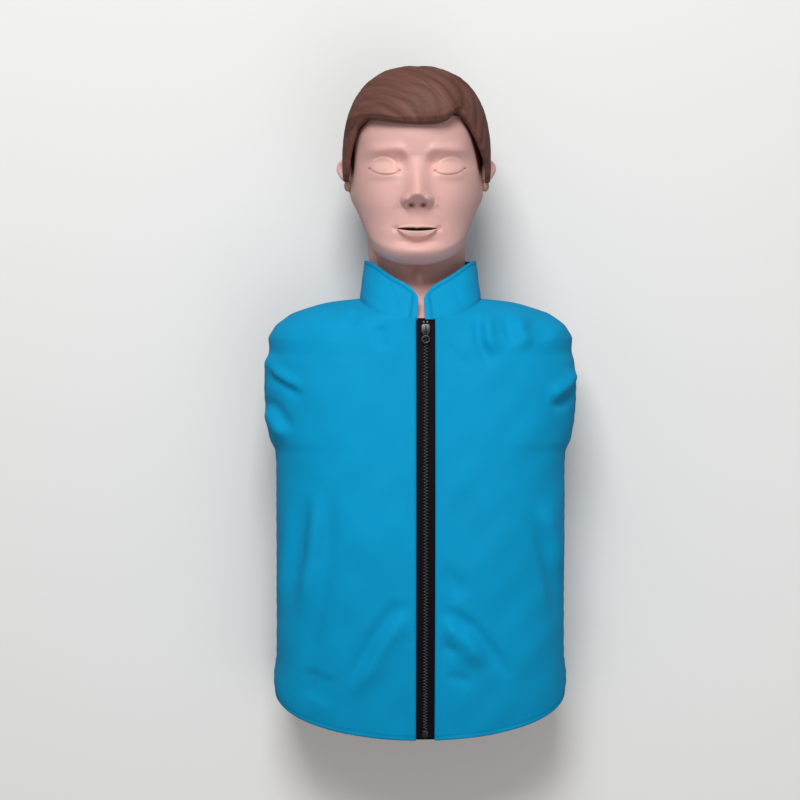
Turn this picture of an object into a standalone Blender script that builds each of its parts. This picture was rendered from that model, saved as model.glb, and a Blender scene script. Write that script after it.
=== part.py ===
"""Half-body resuscitation training manikin, lying on its back as it is used.

Metres, +Z up. The head points along +Y and the chest faces +Z. The origin is on the floor,
under the middle of the object's length and width. Left and right are those of someone who
looks down on the chest with the head away from them, so left is -X.
"""

import math

import bmesh
import bpy
import numpy as np
from mathutils import Matrix, Vector

# The jacket, and with it the trunk under it
NECK_SIDE_Y = 0.119
TRUNK_LENGTH = 0.455
HEM_SIDE_Y = NECK_SIDE_Y - TRUNK_LENGTH
HALF_WIDTH = 0.181
CHEST_HEIGHT = 0.212
CHEST_PEAK_Y = -0.070
HEM_BOW = 0.049
NECKLINE_LEAN = 0.026
NECKLINE_BACK_STEP = 0.006
NECKLINE_BACK_HEIGHT = 0.032
FRONT_SQUARENESS = 2.5
BACK_SQUARENESS = 3.0
BACK_SINK = 0.004
JACKET_THICKNESS = 0.0016
SEAM_GAP = 0.0002

# The zip, which follows an arc of this radius from the neckline to the hem
ZIP_X = 0.005
ZIP_RADIUS = 1.0
ZIP_OPENING_HALF = 0.0105
TOOTH_PITCH = 0.0144
TOOTH_DEPTH = 0.0026
TOOTH_REACH = 0.0013
TOOTH_ROOT = 0.0016
CHAIN_HALF = 0.0031
CHAIN_SINK = 0.0011
TAPE_HALF = 0.018
TAPE_THICKNESS = 0.0008
TAPE_SINK = 0.0009
STOP_LENGTH = 0.0035
BOX_LENGTH = 0.008
SLIDER_LENGTH = 0.0115
SLIDER_HALF = 0.0055
SLIDER_PLATE = 0.0014
PULL_THICKNESS = 0.0012
PULL_RING_RADIUS = 0.0043
PULL_HOLE_RADIUS = 0.0024

# The collar
COLLAR_HALF_WIDTH = 0.065
COLLAR_THICKNESS = 0.0024
COLLAR_SIDE_Y = 0.163
COLLAR_BACK_Y = 0.172
COLLAR_FRONT_Y = 0.130
COLLAR_FRONT_HEIGHT = 0.176
COLLAR_BACK_HEIGHT = 0.034
COLLAR_CORNER = 0.012
COLLAR_LIFT = 0.0012

# The trunk's shells under the jacket
SKIN_INSET = 0.0065
SKIN_THICKNESS = 0.003
SKIN_SEAM = 0.0005
BASE_THICKNESS = 0.004
END_RECESS = 0.02
LUNG_GAP = 0.0016
LUNG_THICKNESS = 0.0035
PLATE_THICKNESS = 0.0035

# The compression mechanism
PRESS_Y = -0.010
PLATE_LENGTH = 0.130
SLEEVE_RADIUS = 0.017
POST_RADIUS = 0.0116
CUP_RADIUS = 0.034
CUP_Z = 0.116
CUP_THICKNESS = 0.004
STROKE = 0.055
SEAT_RADIUS = 0.044
SEAT_THICKNESS = 0.004
SPRING_RADIUS = 0.026
WIRE_RADIUS = 0.0020
SPRING_TURNS = 5
SCREW_RADIUS = 0.002
SCREW_HEAD_RADIUS = 0.004
SCREW_HEAD_HEIGHT = 0.002
SCREW_CIRCLE = 0.036

# The neck and the pin on which the head turns
NECK_START_Y = 0.078
NECK_HALF_WIDTH = 0.0465
NECK_RADIUS = 0.039
TILT_Y = 0.245
TILT_Z = 0.100
TILT_PIN_RADIUS = 0.005
TILT_PIN_HALF = 0.0585
SADDLE_LENGTH = 0.020
SADDLE_HALF_WIDTH = 0.030
SADDLE_RISE = 0.0088
APPLE_HEIGHT = 0.006

# The head, whose middle lies a little to the left
HEAD_X = -0.0045
HEAD_Y = 0.275
HEAD_Z = 0.118
SKULL_HALF_WIDTH = 0.072
SKULL_TOP = 0.097
SKULL_FRONT = 0.074
SKULL_BACK = 0.0875
SKULL_WALL = 0.004
SKULL_SQUARENESS = 2.3
SKULL_CUT_BACK_Y = 0.232
SKULL_CUT_FRONT_Y = 0.215
EAR_X = 0.078
EAR_Y = 0.257
EAR_Z = 0.106
HAIR_FIT = 0.0016
HAIR_TOP = 0.1088
HAIR_HALF_WIDTH = 0.085
HAIR_FRONT = 0.107
HAIR_BACK = 0.096
HAIR_SQUARENESS = 2.4
HAIR_POLE_TILT = math.radians(26)
HAIR_FRONT_ROOM = 0.102
HAIR_SIDE_ROOM = 0.0812
FRINGE_HEIGHT = 0.010
STRAND_DEPTH = 0.0012

# The face mask, the jaw under it and the pegs that hold it
MASK_HALF_WIDTH = 0.076
MASK_THICKNESS = 0.003
MASK_SQUARENESS = 2.1
MOUTH_Y = 0.1912
MOUTH_HALF_WIDTH = 0.0215
MOUTH_HALF_OPENING = 0.0021
NOSE_HEIGHT = 0.0225
NOSE_TIP_Y = 0.2235
NOSE_BASE_Y = 0.2095
NOSTRIL_X = 0.0066
NOSTRIL_RADIUS = 0.0021
EYE_X = 0.0325
EYE_Y = 0.2545
JAW_FIT = 0.0030
JAW_THICKNESS = 0.0035
JAW_Y = 0.252
JAW_Z = 0.118
JAW_PIN_RADIUS = 0.003
PEG_Y = 0.246
PEG_Z = 0.127
PEG_RADIUS = 0.0045

# Shared clearances
FIT = 0.0003
ROOM = 0.0004

# Rows of (station, share of the trunk's length, share of its half width), hem to neckline
TRUNK_STATIONS = (
    (0.00, 0.000, 0.939), (0.04, 0.031, 0.948), (0.12, 0.101, 0.928), (0.30, 0.343, 0.923),
    (0.48, 0.552, 0.923), (0.53, 0.607, 0.928), (0.57, 0.640, 0.961), (0.63, 0.701, 0.989),
    (0.70, 0.776, 1.000), (0.76, 0.837, 0.989), (0.79, 0.866, 0.972), (0.82, 0.897, 0.975),
    (0.85, 0.923, 0.945), (0.88, 0.945, 0.890), (0.91, 0.965, 0.807), (0.94, 0.980, 0.696),
    (0.97, 0.993, 0.541), (1.00, 1.000, 0.387),
)

# Rows of (height above the neck's underside, half width, front height, front y, back height,
# back y) for the rings of the skin from the neckline up the neck
NECK_RINGS = (
    (0.1135, 0.0600, 0.187, 0.094, 0.043, 0.122),
    (0.128, 0.0560, 0.174, 0.105, 0.048, 0.133),
    (0.142, 0.0548, 0.157, 0.122, 0.044, 0.146),
    (0.158, 0.0545, 0.1475, 0.146, 0.0535, 0.160),
    (0.174, 0.0545, 0.1450, 0.168, 0.055, 0.176),
)

# Rows of (station, half width share, middle y, middle z, edge y, edge z), chin to hairline
MASK_STATIONS = (
    (0.00, 0.68, 0.174, 0.1520, 0.194, 0.142), (0.06, 0.70, 0.160, 0.157, 0.190, 0.140),
    (0.11, 0.72, 0.1535, 0.169, 0.188, 0.139), (0.16, 0.735, 0.1535, 0.185, 0.191, 0.138),
    (0.21, 0.75, 0.158, 0.197, 0.196, 0.136), (0.28, 0.80, 0.168, 0.2035, 0.204, 0.133),
    (0.36, 0.855, 0.181, 0.199, 0.214, 0.130), (0.43, 0.895, 0.190, 0.2035, 0.221, 0.128),
    (0.50, 0.935, 0.203, 0.2060, 0.230, 0.126), (0.58, 0.967, 0.215, 0.208, 0.239, 0.124),
    (0.66, 0.990, 0.235, 0.2090, 0.252, 0.122), (0.76, 1.000, 0.262, 0.2060, 0.270, 0.121),
    (0.84, 1.000, 0.277, 0.2135, 0.282, 0.121), (0.92, 1.000, 0.298, 0.214, 0.299, 0.121),
    (1.00, 0.970, 0.320, 0.206, 0.316, 0.122),
)

# Half of the hairline: (angle round from the front, angle down from the pole), in degrees
HAIRLINE = (
    (0, 96), (25, 93), (45, 87), (58, 87), (70, 100), (78, 112), (85, 114), (90, 100),
    (94, 78), (104, 76), (112, 88), (124, 103), (140, 102), (160, 96), (180, 94),
)

# Folds of the jacket's front: (half width, height, points along the fold in plan)
FOLDS = (
    (0.0080, 0.0040, ((-0.182, 0.067), (-0.175, 0.038), (-0.156, 0.017), (-0.135, 0.007))),
    (0.0080, 0.0040, ((-0.182, -0.002), (-0.167, -0.020), (-0.150, -0.042))),
    (0.0080, 0.0045, ((0.178, 0.032), (0.172, 0.009), (0.156, -0.005), (0.143, -0.005))),
    (0.0070, 0.0030, ((0.063, 0.108), (0.066, 0.084), (0.080, 0.061))),
    (0.0070, 0.0030, ((0.103, 0.103), (0.112, 0.067))),
    (0.0065, 0.0020, ((-0.043, 0.098), (-0.035, 0.067))),
    (0.0100, 0.0040, ((-0.008, -0.221), (-0.024, -0.244), (-0.058, -0.296), (-0.087, -0.342))),
    (0.0100, 0.0040, ((0.026, -0.261), (0.057, -0.284), (0.091, -0.330), (0.114, -0.359))),
    (0.0080, 0.0030, ((0.022, -0.215), (0.051, -0.238))),
    (0.0120, 0.0040, ((-0.142, -0.089), (-0.139, -0.227), (-0.148, -0.330))),
    (0.0100, 0.0040, ((0.137, -0.135), (0.156, -0.180), (0.166, -0.273))),
)

# Colour, roughness and metallic value of each finish
JACKET_BLUE = ((0.001, 0.328, 0.584), 0.72, 0.0)
TAPE_BLACK = ((0.012, 0.013, 0.016), 0.85, 0.0)
TOOTH_BLACK = ((0.02, 0.02, 0.022), 0.35, 0.0)
PULL_BLACK = ((0.03, 0.03, 0.032), 0.3, 0.6)
SKIN_PINK = ((0.80, 0.50, 0.46), 0.5, 0.0)
SHELL_TAN = ((0.62, 0.38, 0.33), 0.45, 0.0)
HAIR_BROWN = ((0.16, 0.075, 0.056), 0.45, 0.0)
PLASTIC_WHITE = ((0.75, 0.75, 0.73), 0.4, 0.0)
STEEL = ((0.55, 0.56, 0.57), 0.3, 1.0)
BAG_CLEAR = ((0.7, 0.72, 0.7), 0.25, 0.0)


def clear_scene():
    """Remove every object, so that the script starts from nothing."""
    for found in list(bpy.data.objects):
        bpy.data.objects.remove(found, do_unlink=True)


def finish(label, look):
    """Material with one Principled shader: colour, roughness and metallic value."""
    colour, roughness, metallic = look
    made = bpy.data.materials.new(label)
    made.use_nodes = True
    shader = made.node_tree.nodes["Principled BSDF"]
    shader.inputs["Base Color"].default_value = (*colour, 1.0)
    shader.inputs["Roughness"].default_value = roughness
    shader.inputs["Metallic"].default_value = metallic
    made.diffuse_color = (*colour, 1.0)
    return made


def smooth_curve(keys, values, at):
    """Monotone cubic through (keys, values), read at each number of the array at."""
    keys = np.asarray(keys, float)
    values = np.asarray(values, float)
    at = np.clip(np.asarray(at, float), keys[0], keys[-1])
    step = np.diff(keys)
    rise = np.diff(values) / step
    slope = np.zeros(len(keys))
    slope[0] = rise[0]
    slope[-1] = rise[-1]
    same_way = rise[:-1] * rise[1:] > 0
    before = 2 * step[1:] + step[:-1]
    after = step[1:] + 2 * step[:-1]
    safe = np.where(same_way, rise[:-1] * rise[1:], 1.0)
    mean = (before + after) * safe / (before * rise[1:] + after * rise[:-1] + 1e-30 * ~same_way)
    slope[1:-1] = np.where(same_way, mean, 0.0)
    place = np.clip(np.searchsorted(keys, at, side="right") - 1, 0, len(step) - 1)
    width = step[place]
    t = (at - keys[place]) / width
    start = (2 * t**3 - 3 * t**2 + 1) * values[place] + (t**3 - 2 * t**2 + t) * width * slope[place]
    end = (3 * t**2 - 2 * t**3) * values[place + 1] + (t**3 - t**2) * width * slope[place + 1]
    return start + end


def table_column(rows, column, at):
    """Smooth value of one column of a table whose first column is the key."""
    table = np.asarray(rows, float)
    return smooth_curve(table[:, 0], table[:, column], at)


def new_object(name, points, faces, look, pivot=(0, 0, 0)):
    """Closed mesh with its faces turned outwards and its origin at the pivot."""
    mesh = bpy.data.meshes.new(name)
    mesh.from_pydata([Vector(point) - Vector(pivot) for point in points], [], faces)
    work = bmesh.new()
    work.from_mesh(mesh)
    bmesh.ops.remove_doubles(work, verts=work.verts, dist=1e-7)
    bmesh.ops.recalc_face_normals(work, faces=work.faces)
    work.to_mesh(mesh)
    work.free()
    mesh.shade_smooth()
    mesh.set_sharp_from_angle(angle=math.radians(35))
    mesh.materials.append(look)
    made = bpy.data.objects.new(name, mesh)
    made.location = pivot
    bpy.context.scene.collection.objects.link(made)
    return made


def helper(made):
    """Mark an object as one that only shapes others."""
    made.hide_render = True
    made.display_type = "WIRE"
    return made


def boolean(target, other, operation):
    """Cut the other shape from the target, or join it on, with the exact solver."""
    step = target.modifiers.new(f"{operation.lower()} {other.name}", "BOOLEAN")
    step.operation = operation
    step.solver = "EXACT"
    step.object = helper(other)


def cut(target, *cutters):
    for cutter in cutters:
        boolean(target, cutter, "DIFFERENCE")


def join(target, *pieces):
    for piece in pieces:
        boolean(target, piece, "UNION")


def cylinder(name, start, end, radius, look, sides=24, end_radius=None, pivot=(0, 0, 0)):
    """Round bar or cone between two points."""
    start = Vector(start)
    end = Vector(end)
    work = bmesh.new()
    turn = (end - start).to_track_quat("Z", "Y").to_matrix().to_4x4()
    place = Matrix.Translation((start + end) / 2) @ turn
    bmesh.ops.create_cone(
        work, cap_ends=True, segments=sides, radius1=radius,
        radius2=radius if end_radius is None else end_radius,
        depth=(end - start).length, matrix=place,
    )
    points = [tuple(vertex.co) for vertex in work.verts]
    work.verts.index_update()
    faces = [[vertex.index for vertex in face.verts] for face in work.faces]
    work.free()
    return new_object(name, points, faces, look, pivot)


def block(name, low, high, look, pivot=(0, 0, 0)):
    """Box between its lowest and highest corners."""
    points = [(x, y, z) for x in (low[0], high[0]) for y in (low[1], high[1])
              for z in (low[2], high[2])]
    faces = [(0, 1, 3, 2), (4, 6, 7, 5), (0, 4, 5, 1), (2, 3, 7, 6), (0, 2, 6, 4), (1, 5, 7, 3)]
    return new_object(name, points, faces, look, pivot)


def prism(name, outline, base_z, height, look):
    """Plate of the given outline, from base_z up."""
    count = len(outline)
    points = [(x, y, base_z) for x, y in outline]
    points += [(x, y, base_z + height) for x, y in outline]
    faces = [tuple(range(count)), tuple(range(count, 2 * count))]
    faces += [(i, (i + 1) % count, count + (i + 1) % count, count + i) for i in range(count)]
    return new_object(name, points, faces, look)


def outward(grid):
    """Unit normals of a grid whose rows go towards the head and columns go round it."""
    along = np.gradient(grid, axis=0)
    round_it = np.gradient(grid, axis=1)
    normal = np.cross(round_it, along)
    return normal / np.maximum(np.linalg.norm(normal, axis=2, keepdims=True), 1e-12)


def sunk(grid, depth):
    """The grid moved inwards by a depth."""
    return grid - outward(grid) * depth


def shell(name, outer, inner, look, step=2):
    """Closed wall between a grid and its lining, which takes every step-th row and column."""
    rows, columns = outer.shape[0] - 1, outer.shape[1] - 1
    lining = inner[::step, ::step]
    few_rows, few_columns = rows // step, columns // step
    points = np.concatenate([outer.reshape(-1, 3), lining.reshape(-1, 3)])
    first = (rows + 1) * (columns + 1)

    def out(r, c):
        return r * (columns + 1) + c

    def lin(r, c):
        return first + r * (few_columns + 1) + c

    faces = [(out(r, c), out(r, c + 1), out(r + 1, c + 1), out(r + 1, c))
             for r in range(rows) for c in range(columns)]
    faces += [(lin(r, c), lin(r + 1, c), lin(r + 1, c + 1), lin(r, c + 1))
              for r in range(few_rows) for c in range(few_columns)]
    rims = []
    for c in range(few_columns):
        for r, few_r in ((0, 0), (rows, few_rows)):
            rims.append(([out(r, step * c + i) for i in range(step + 1)],
                         lin(few_r, c), lin(few_r, c + 1)))
    for r in range(few_rows):
        for c, few_c in ((0, 0), (columns, few_columns)):
            rims.append(([out(step * r + i, c) for i in range(step + 1)],
                         lin(r, few_c), lin(r + 1, few_c)))
    for edge, low, high in rims:
        faces.append((edge[0], edge[1], low))
        faces.append((edge[1], high, low))
        faces += [(edge[i], edge[i + 1], high) for i in range(1, step)]
    return new_object(name, points.tolist(), faces, look)


def loft(name, rings, look, pivot=(0, 0, 0)):
    """Closed body through rings of equal count, with flat ends."""
    count = len(rings[0])
    points = [tuple(point) for ring in rings for point in ring]
    faces = [tuple(range(count)), tuple(range((len(rings) - 1) * count, len(rings) * count))]
    for r in range(len(rings) - 1):
        for c in range(count):
            d = (c + 1) % count
            faces.append((r * count + c, r * count + d, (r + 1) * count + d, (r + 1) * count + c))
    return new_object(name, points, faces, look, pivot)


def swept(name, path, radius, sides, look, pivot=(0, 0, 0)):
    """Round bar along a path with flat ends; each ring keeps the turn of the one before."""
    path = np.asarray(path, float)
    ahead = np.gradient(path, axis=0)
    ahead /= np.linalg.norm(ahead, axis=1, keepdims=True)
    side = np.zeros_like(ahead)
    last = np.array((1.0, 0.0, 0.0)) if abs(ahead[0][0]) < 0.9 else np.array((0.0, 0.0, 1.0))
    for index, way in enumerate(ahead):
        last = last - way * last.dot(way)
        last = last / np.linalg.norm(last)
        side[index] = last
    up = np.cross(side, ahead)
    angle = np.linspace(0, 2 * np.pi, sides, endpoint=False)
    ring = np.cos(angle)[None, :, None] * side[:, None] + np.sin(angle)[None, :, None] * up[:, None]
    return loft(name, path[:, None] + radius * ring, look, pivot)


def zip_height(y):
    """Height of the zip's arc over a place along the body."""
    return CHEST_HEIGHT - ZIP_RADIUS + np.sqrt(ZIP_RADIUS**2 - (y - CHEST_PEAK_Y) ** 2)


def fold_height(x, y):
    """Sum of the folds at a place in plan: each is a ridge that fades across its width."""
    total = np.zeros(np.broadcast(x, y).shape)
    for half_width, height, points in FOLDS:
        nearest = np.full(total.shape, 1.0)
        for (ax, ay), (bx, by) in zip(points[:-1], points[1:]):
            length = (bx - ax) ** 2 + (by - ay) ** 2
            share = np.clip(((x - ax) * (bx - ax) + (y - ay) * (by - ay)) / length, 0, 1)
            away = np.hypot(x - ax - share * (bx - ax), y - ay - share * (by - ay))
            nearest = np.minimum(nearest, away)
        total = np.maximum(total, height * np.exp(-((nearest / half_width) ** 2)))
    return total * np.clip((np.abs(x - ZIP_X) - ZIP_OPENING_HALF) / 0.02, 0, 1)


def trunk_frame(station):
    """Side y, half width, front height, back height, hem bow and lean at each station."""
    side_y = HEM_SIDE_Y + TRUNK_LENGTH * table_column(TRUNK_STATIONS, 1, station)
    width = HALF_WIDTH * table_column(TRUNK_STATIONS, 2, station)
    bow = HEM_BOW * np.clip(1 - station / 0.5, 0, 1) ** 2
    lean = smooth_curve((0.0, 0.7, 0.82, 0.88, 0.94, 1.0), (0, 0, 0.38, 0.73, 0.96, 1.0), station)
    front = zip_height(side_y - bow - NECKLINE_LEAN * lean)
    lift = smooth_curve((0.0, 0.82, 0.88, 0.94, 1.0), (0, 0, 0.125, 0.44, 1.0), station)
    return side_y, width, front, NECKLINE_BACK_HEIGHT * lift, bow, NECKLINE_LEAN * lean, lift


def trunk_surface(station, angle, folded=False):
    """Grid of the jacket's outer surface.

    Each station is a closed outline across the body: above its middle height x and z go as
    powers of the sine and cosine for a squared ellipse, and below it with another squareness,
    cut flat where it meets the floor. The y falls back from the side by the hem's bow and the
    neckline's lean.
    """
    station = np.asarray(station, float)[:, None]
    angle = np.broadcast_to(angle, (len(station), np.shape(angle)[-1]))
    side_y, width, front, back, bow, lean, lift = trunk_frame(station)
    sine, cosine = np.sin(angle), np.cos(angle)
    ahead = cosine > 0
    power = np.where(ahead, 2 / FRONT_SQUARENESS, 2 / BACK_SQUARENESS)
    x = width * np.sign(sine) * np.abs(sine) ** power
    middle = (front + back) / 2
    swing = np.abs(cosine) ** power
    z = np.where(ahead, middle + (front - middle) * swing,
                 middle - (middle - back + BACK_SINK * (1 - lift)) * swing)
    z = np.maximum(z, 0.0)
    y = side_y - bow * np.sqrt(np.clip(1 - (x / width) ** 2, 0, 1))
    y = y - lean * np.maximum(cosine, 0) ** 1.5
    y = y + NECKLINE_BACK_STEP * lift * np.maximum(-cosine, 0) ** 1.5
    grid = np.stack([x, y, z], axis=2)
    if folded:
        height = fold_height(x, y) * np.clip((z - 0.03) / 0.05, 0, 1)
        grid = grid + outward(grid) * height[:, :, None]
    return grid


def seam_angle(squareness):
    """Angle beside the side seam that leaves half of its gap."""
    return math.acos((SEAM_GAP / (CHEST_HEIGHT / 2)) ** (squareness / 2))


def zip_edge_angle(station, x):
    """Angle at which the outline of each station passes a given x near the zip."""
    width = trunk_frame(np.asarray(station, float))[1]
    return np.arcsin(np.sign(x) * (abs(x) / width) ** (FRONT_SQUARENESS / 2))


def between(start, end, count):
    """Rows of angles from each row's start to its end."""
    share = np.linspace(0, 1, count)
    start = np.atleast_1d(start)[:, None]
    end = np.atleast_1d(end)[:, None]
    return start + (end - start) * share[None, :]


def jacket_stations(count):
    """Stations spaced more closely towards the shoulders."""
    share = np.linspace(0, 1, count)
    return 1 - (1 - share) ** 1.25


def level_edges(grid, plain):
    """Grid whose side edges keep the height of the plain one, so that the seams stay open."""
    grid[:, (0, -1), 2] = plain[:, (0, -1), 2]
    return grid


def make_jacket(look):
    """The two fronts, which stop beside the zip, and the back that lies on the floor."""
    stations = jacket_stations(27)
    seam = seam_angle(FRONT_SQUARENESS)
    for name, side, edge in (("jacket_front_left", -1, ZIP_X - ZIP_OPENING_HALF),
                             ("jacket_front_right", 1, ZIP_X + ZIP_OPENING_HALF)):
        zip_side = zip_edge_angle(stations, edge)
        far_side = np.full(len(stations), side * seam)
        low, high = (far_side, zip_side) if side < 0 else (zip_side, far_side)
        angles = between(low, high, 13)
        plain = trunk_surface(stations, angles)
        folded = trunk_surface(stations, angles, True)
        shell(name, level_edges(folded, plain), level_edges(sunk(plain, JACKET_THICKNESS), plain),
              look)
    rows = jacket_stations(23)
    seam = math.pi - seam_angle(BACK_SQUARENESS)
    angles = np.linspace(seam, 2 * math.pi - seam, 21)
    plain = trunk_surface(rows, angles)
    folded = trunk_surface(rows, angles, True)
    shell("jacket_back", level_edges(folded, plain),
          level_edges(sunk(plain, JACKET_THICKNESS), plain), look)


def collar_surface(angles, rises):
    """Grid from the neckline up to the collar's free edge.

    The free edge is an ellipse round the neck whose y falls towards the front and drops at
    each front corner along a quarter round.
    """
    base = trunk_surface([1.0], angles)[0]
    across = np.sin(angles)
    facing = np.cos(angles)
    middle = (COLLAR_FRONT_HEIGHT + COLLAR_BACK_HEIGHT) / 2
    reach = (COLLAR_FRONT_HEIGHT - COLLAR_BACK_HEIGHT) / 2
    rim_y = np.where(facing > 0, COLLAR_SIDE_Y + (COLLAR_FRONT_Y - COLLAR_SIDE_Y) * facing**3,
                     COLLAR_SIDE_Y + (COLLAR_BACK_Y - COLLAR_SIDE_Y) * np.abs(facing) ** 2)
    rim = np.stack([COLLAR_HALF_WIDTH * across, rim_y, middle + reach * facing], axis=1)
    from_edge = np.minimum(angles - angles[0], angles[-1] - angles) * COLLAR_HALF_WIDTH
    corner = np.clip(1 - from_edge / COLLAR_CORNER, 0, 1)
    drop = 1 - np.sqrt(1 - 0.96 * corner**2)
    share = 1 - drop * COLLAR_CORNER / np.linalg.norm(rim - base, axis=1)
    share = np.asarray(rises)[:, None] * share[None, :]
    return base[None] + (rim - base)[None] * share[:, :, None]


def make_collar(look):
    """Stand collar, open at the front beside the zip."""
    width = float(trunk_frame(np.array([1.0]))[1][0])
    left = ZIP_X - ZIP_OPENING_HALF
    start = math.asin(ZIP_X / width)
    end = 2 * math.pi + math.asin(left / width)
    share = np.linspace(0, 1, 29)
    angles = start + (end - start) * (share - 0.10 * np.sin(2 * math.pi * share) / math.pi)
    rises = np.linspace(0, 1, 5)
    outer = collar_surface(angles, rises)
    lift = (outer[1] - outer[0])
    lift /= np.linalg.norm(lift, axis=1, keepdims=True)
    outer[0] += lift * COLLAR_LIFT
    shell("collar", outer, sunk(outer, COLLAR_THICKNESS), look)


def zip_point(x, travel, rise):
    """Point beside the zip's line: x, distance down the arc from its peak, and height on it."""
    angle = np.asarray(travel) / ZIP_RADIUS
    radius = ZIP_RADIUS + np.asarray(rise)
    y = CHEST_PEAK_Y - radius * np.sin(angle)
    z = CHEST_HEIGHT - ZIP_RADIUS + radius * np.cos(angle)
    return np.stack(np.broadcast_arrays(x, y, z), axis=-1)


def zip_travel(y):
    """Distance along the arc at a given y, down towards the hem."""
    return ZIP_RADIUS * math.asin((CHEST_PEAK_Y - y) / ZIP_RADIUS)


def neckline_front_y():
    return NECK_SIDE_Y - NECKLINE_LEAN


def hem_front_y():
    return HEM_SIDE_Y - HEM_BOW


def slider_travel():
    """Where the slider rests, closed, under the top stops."""
    return zip_travel(neckline_front_y()) + 0.0035 + STOP_LENGTH + FIT + SLIDER_LENGTH / 2


def zip_bar(name, low, high, look):
    """Block in the zip's own coordinates: x, distance down the arc and height."""
    corners = [zip_point(x, t, h) for x in (low[0], high[0]) for t in (low[1], high[1])
               for h in (low[2], high[2])]
    faces = [(0, 1, 3, 2), (4, 6, 7, 5), (0, 4, 5, 1), (2, 3, 7, 6), (0, 2, 6, 4), (1, 5, 7, 3)]
    return new_object(name, corners, faces, look)


def make_teeth(name, side, start, end, look):
    """One row of teeth on its cord, as a rack that the other row's teeth fit into.

    Along the arc each pitch has a tooth that reaches past the zip's line and a gap for the
    other row's tooth. The left row's teeth fill the first half of each pitch.
    """
    top = -CHAIN_SINK
    bottom = top - TOOTH_DEPTH
    back = ZIP_X + side * CHAIN_HALF
    root = ZIP_X + side * TOOTH_ROOT
    tip = ZIP_X - side * TOOTH_REACH
    phase = 0.0 if side < 0 else TOOTH_PITCH / 2
    count = int((end - start - phase) / TOOTH_PITCH)
    cuts = [start]
    for tooth in range(count):
        first = start + phase + tooth * TOOTH_PITCH + FIT
        cuts += [first, first + TOOTH_PITCH / 2 - 2 * FIT]
    cuts.append(end)
    points = []
    for travel in cuts:
        for x in (back, root):
            for height in (bottom, top):
                points.append(zip_point(x, travel, height))
    faces = [(0, 1, 3, 2)]
    for i in range(len(cuts) - 1):
        a, b = 4 * i, 4 * i + 4
        faces += [(a, a + 2, b + 2, b), (a + 1, b + 1, b + 3, a + 3), (a, b, b + 1, a + 1)]
        if i % 2 == 0:
            faces.append((a + 2, a + 3, b + 3, b + 2))
            continue
        far = len(points)
        for travel in (cuts[i], cuts[i + 1]):
            for height in (bottom, top):
                points.append(zip_point(tip, travel, height))
        faces += [(a + 2, far, far + 2, b + 2), (a + 3, b + 3, far + 3, far + 1),
                  (a + 2, a + 3, far + 1, far), (b + 2, far + 2, far + 3, b + 3),
                  (far, far + 1, far + 3, far + 2)]
    last = 4 * (len(cuts) - 1)
    faces.append((last, last + 2, last + 3, last + 1))
    new_object(name, points, faces, look)


def make_tape(name, side, look):
    """Woven strip that runs from the teeth to under the jacket's edge.

    Its rows are close enough for the slider to pass along the arc with the tape between its
    plates.
    """
    rows = jacket_stations(31)
    inner = ZIP_X + side * (CHAIN_HALF + FIT)
    outer = ZIP_X + side * TAPE_HALF
    low = zip_edge_angle(rows, min(inner, outer))
    high = zip_edge_angle(rows, max(inner, outer))
    surface = trunk_surface(rows, between(low, high, 3))
    top = JACKET_THICKNESS + TAPE_SINK
    shell(name, sunk(surface, top), sunk(surface, top + TAPE_THICKNESS), look, step=1)


def make_slider(look):
    """Two plates held apart by a wedge, with a bridge on top for the pull."""
    middle = slider_travel()
    half = SLIDER_LENGTH / 2
    over = -CHAIN_SINK + FIT
    under = -CHAIN_SINK - TOOTH_DEPTH - FIT
    head = SLIDER_HALF
    foot = SLIDER_HALF * 0.78

    def plate(name, low, high):
        points = []
        for height in (low, high):
            for x, along in ((-head * 0.6, -half), (-head, -half * 0.5), (-head, -half * 0.1),
                             (-foot, half * 0.45), (-foot, half), (foot, half),
                             (foot, half * 0.45), (head, -half * 0.1), (head, -half * 0.5),
                             (head * 0.6, -half)):
                points.append(zip_point(ZIP_X + x, middle + along, height))
        count = len(points) // 2
        faces = [tuple(range(count)), tuple(range(count, 2 * count))]
        faces += [(i, (i + 1) % count, count + (i + 1) % count, count + i) for i in range(count)]
        return new_object(name, points, faces, look)

    body = plate("zip_slider", over, over + SLIDER_PLATE)
    lower = plate("slider_lower_plate", under - SLIDER_PLATE, under)
    wedge_back = -half * 0.45
    wedge = zip_bar("slider_wedge", (ZIP_X - 0.0016, middle - half + 0.0004, under - 0.0005),
                    (ZIP_X + 0.0016, middle + wedge_back, over + 0.0005), look)
    floor = over + SLIDER_PLATE
    bridge_half = 0.0010
    parts = []
    for label, near, far, low, high in (
            ("upper_post", -0.0040, -0.0027, floor - 0.0005, floor + 0.0030),
            ("lower_post", 0.0027, 0.0040, floor - 0.0005, floor + 0.0030),
            ("bridge", -0.0040, 0.0040, floor + 0.0018, floor + 0.0030)):
        parts.append(zip_bar(f"slider_{label}", (ZIP_X - bridge_half, middle + near, low),
                             (ZIP_X + bridge_half, middle + far, high), look))
    join(body, lower, wedge, *parts)


def pull_axis():
    """Point of the line on which the pull turns, under the slider's bridge."""
    height = -CHAIN_SINK + FIT + SLIDER_PLATE + FIT + PULL_THICKNESS / 2
    return zip_point(ZIP_X, slider_travel() + 0.0014, height)


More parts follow.
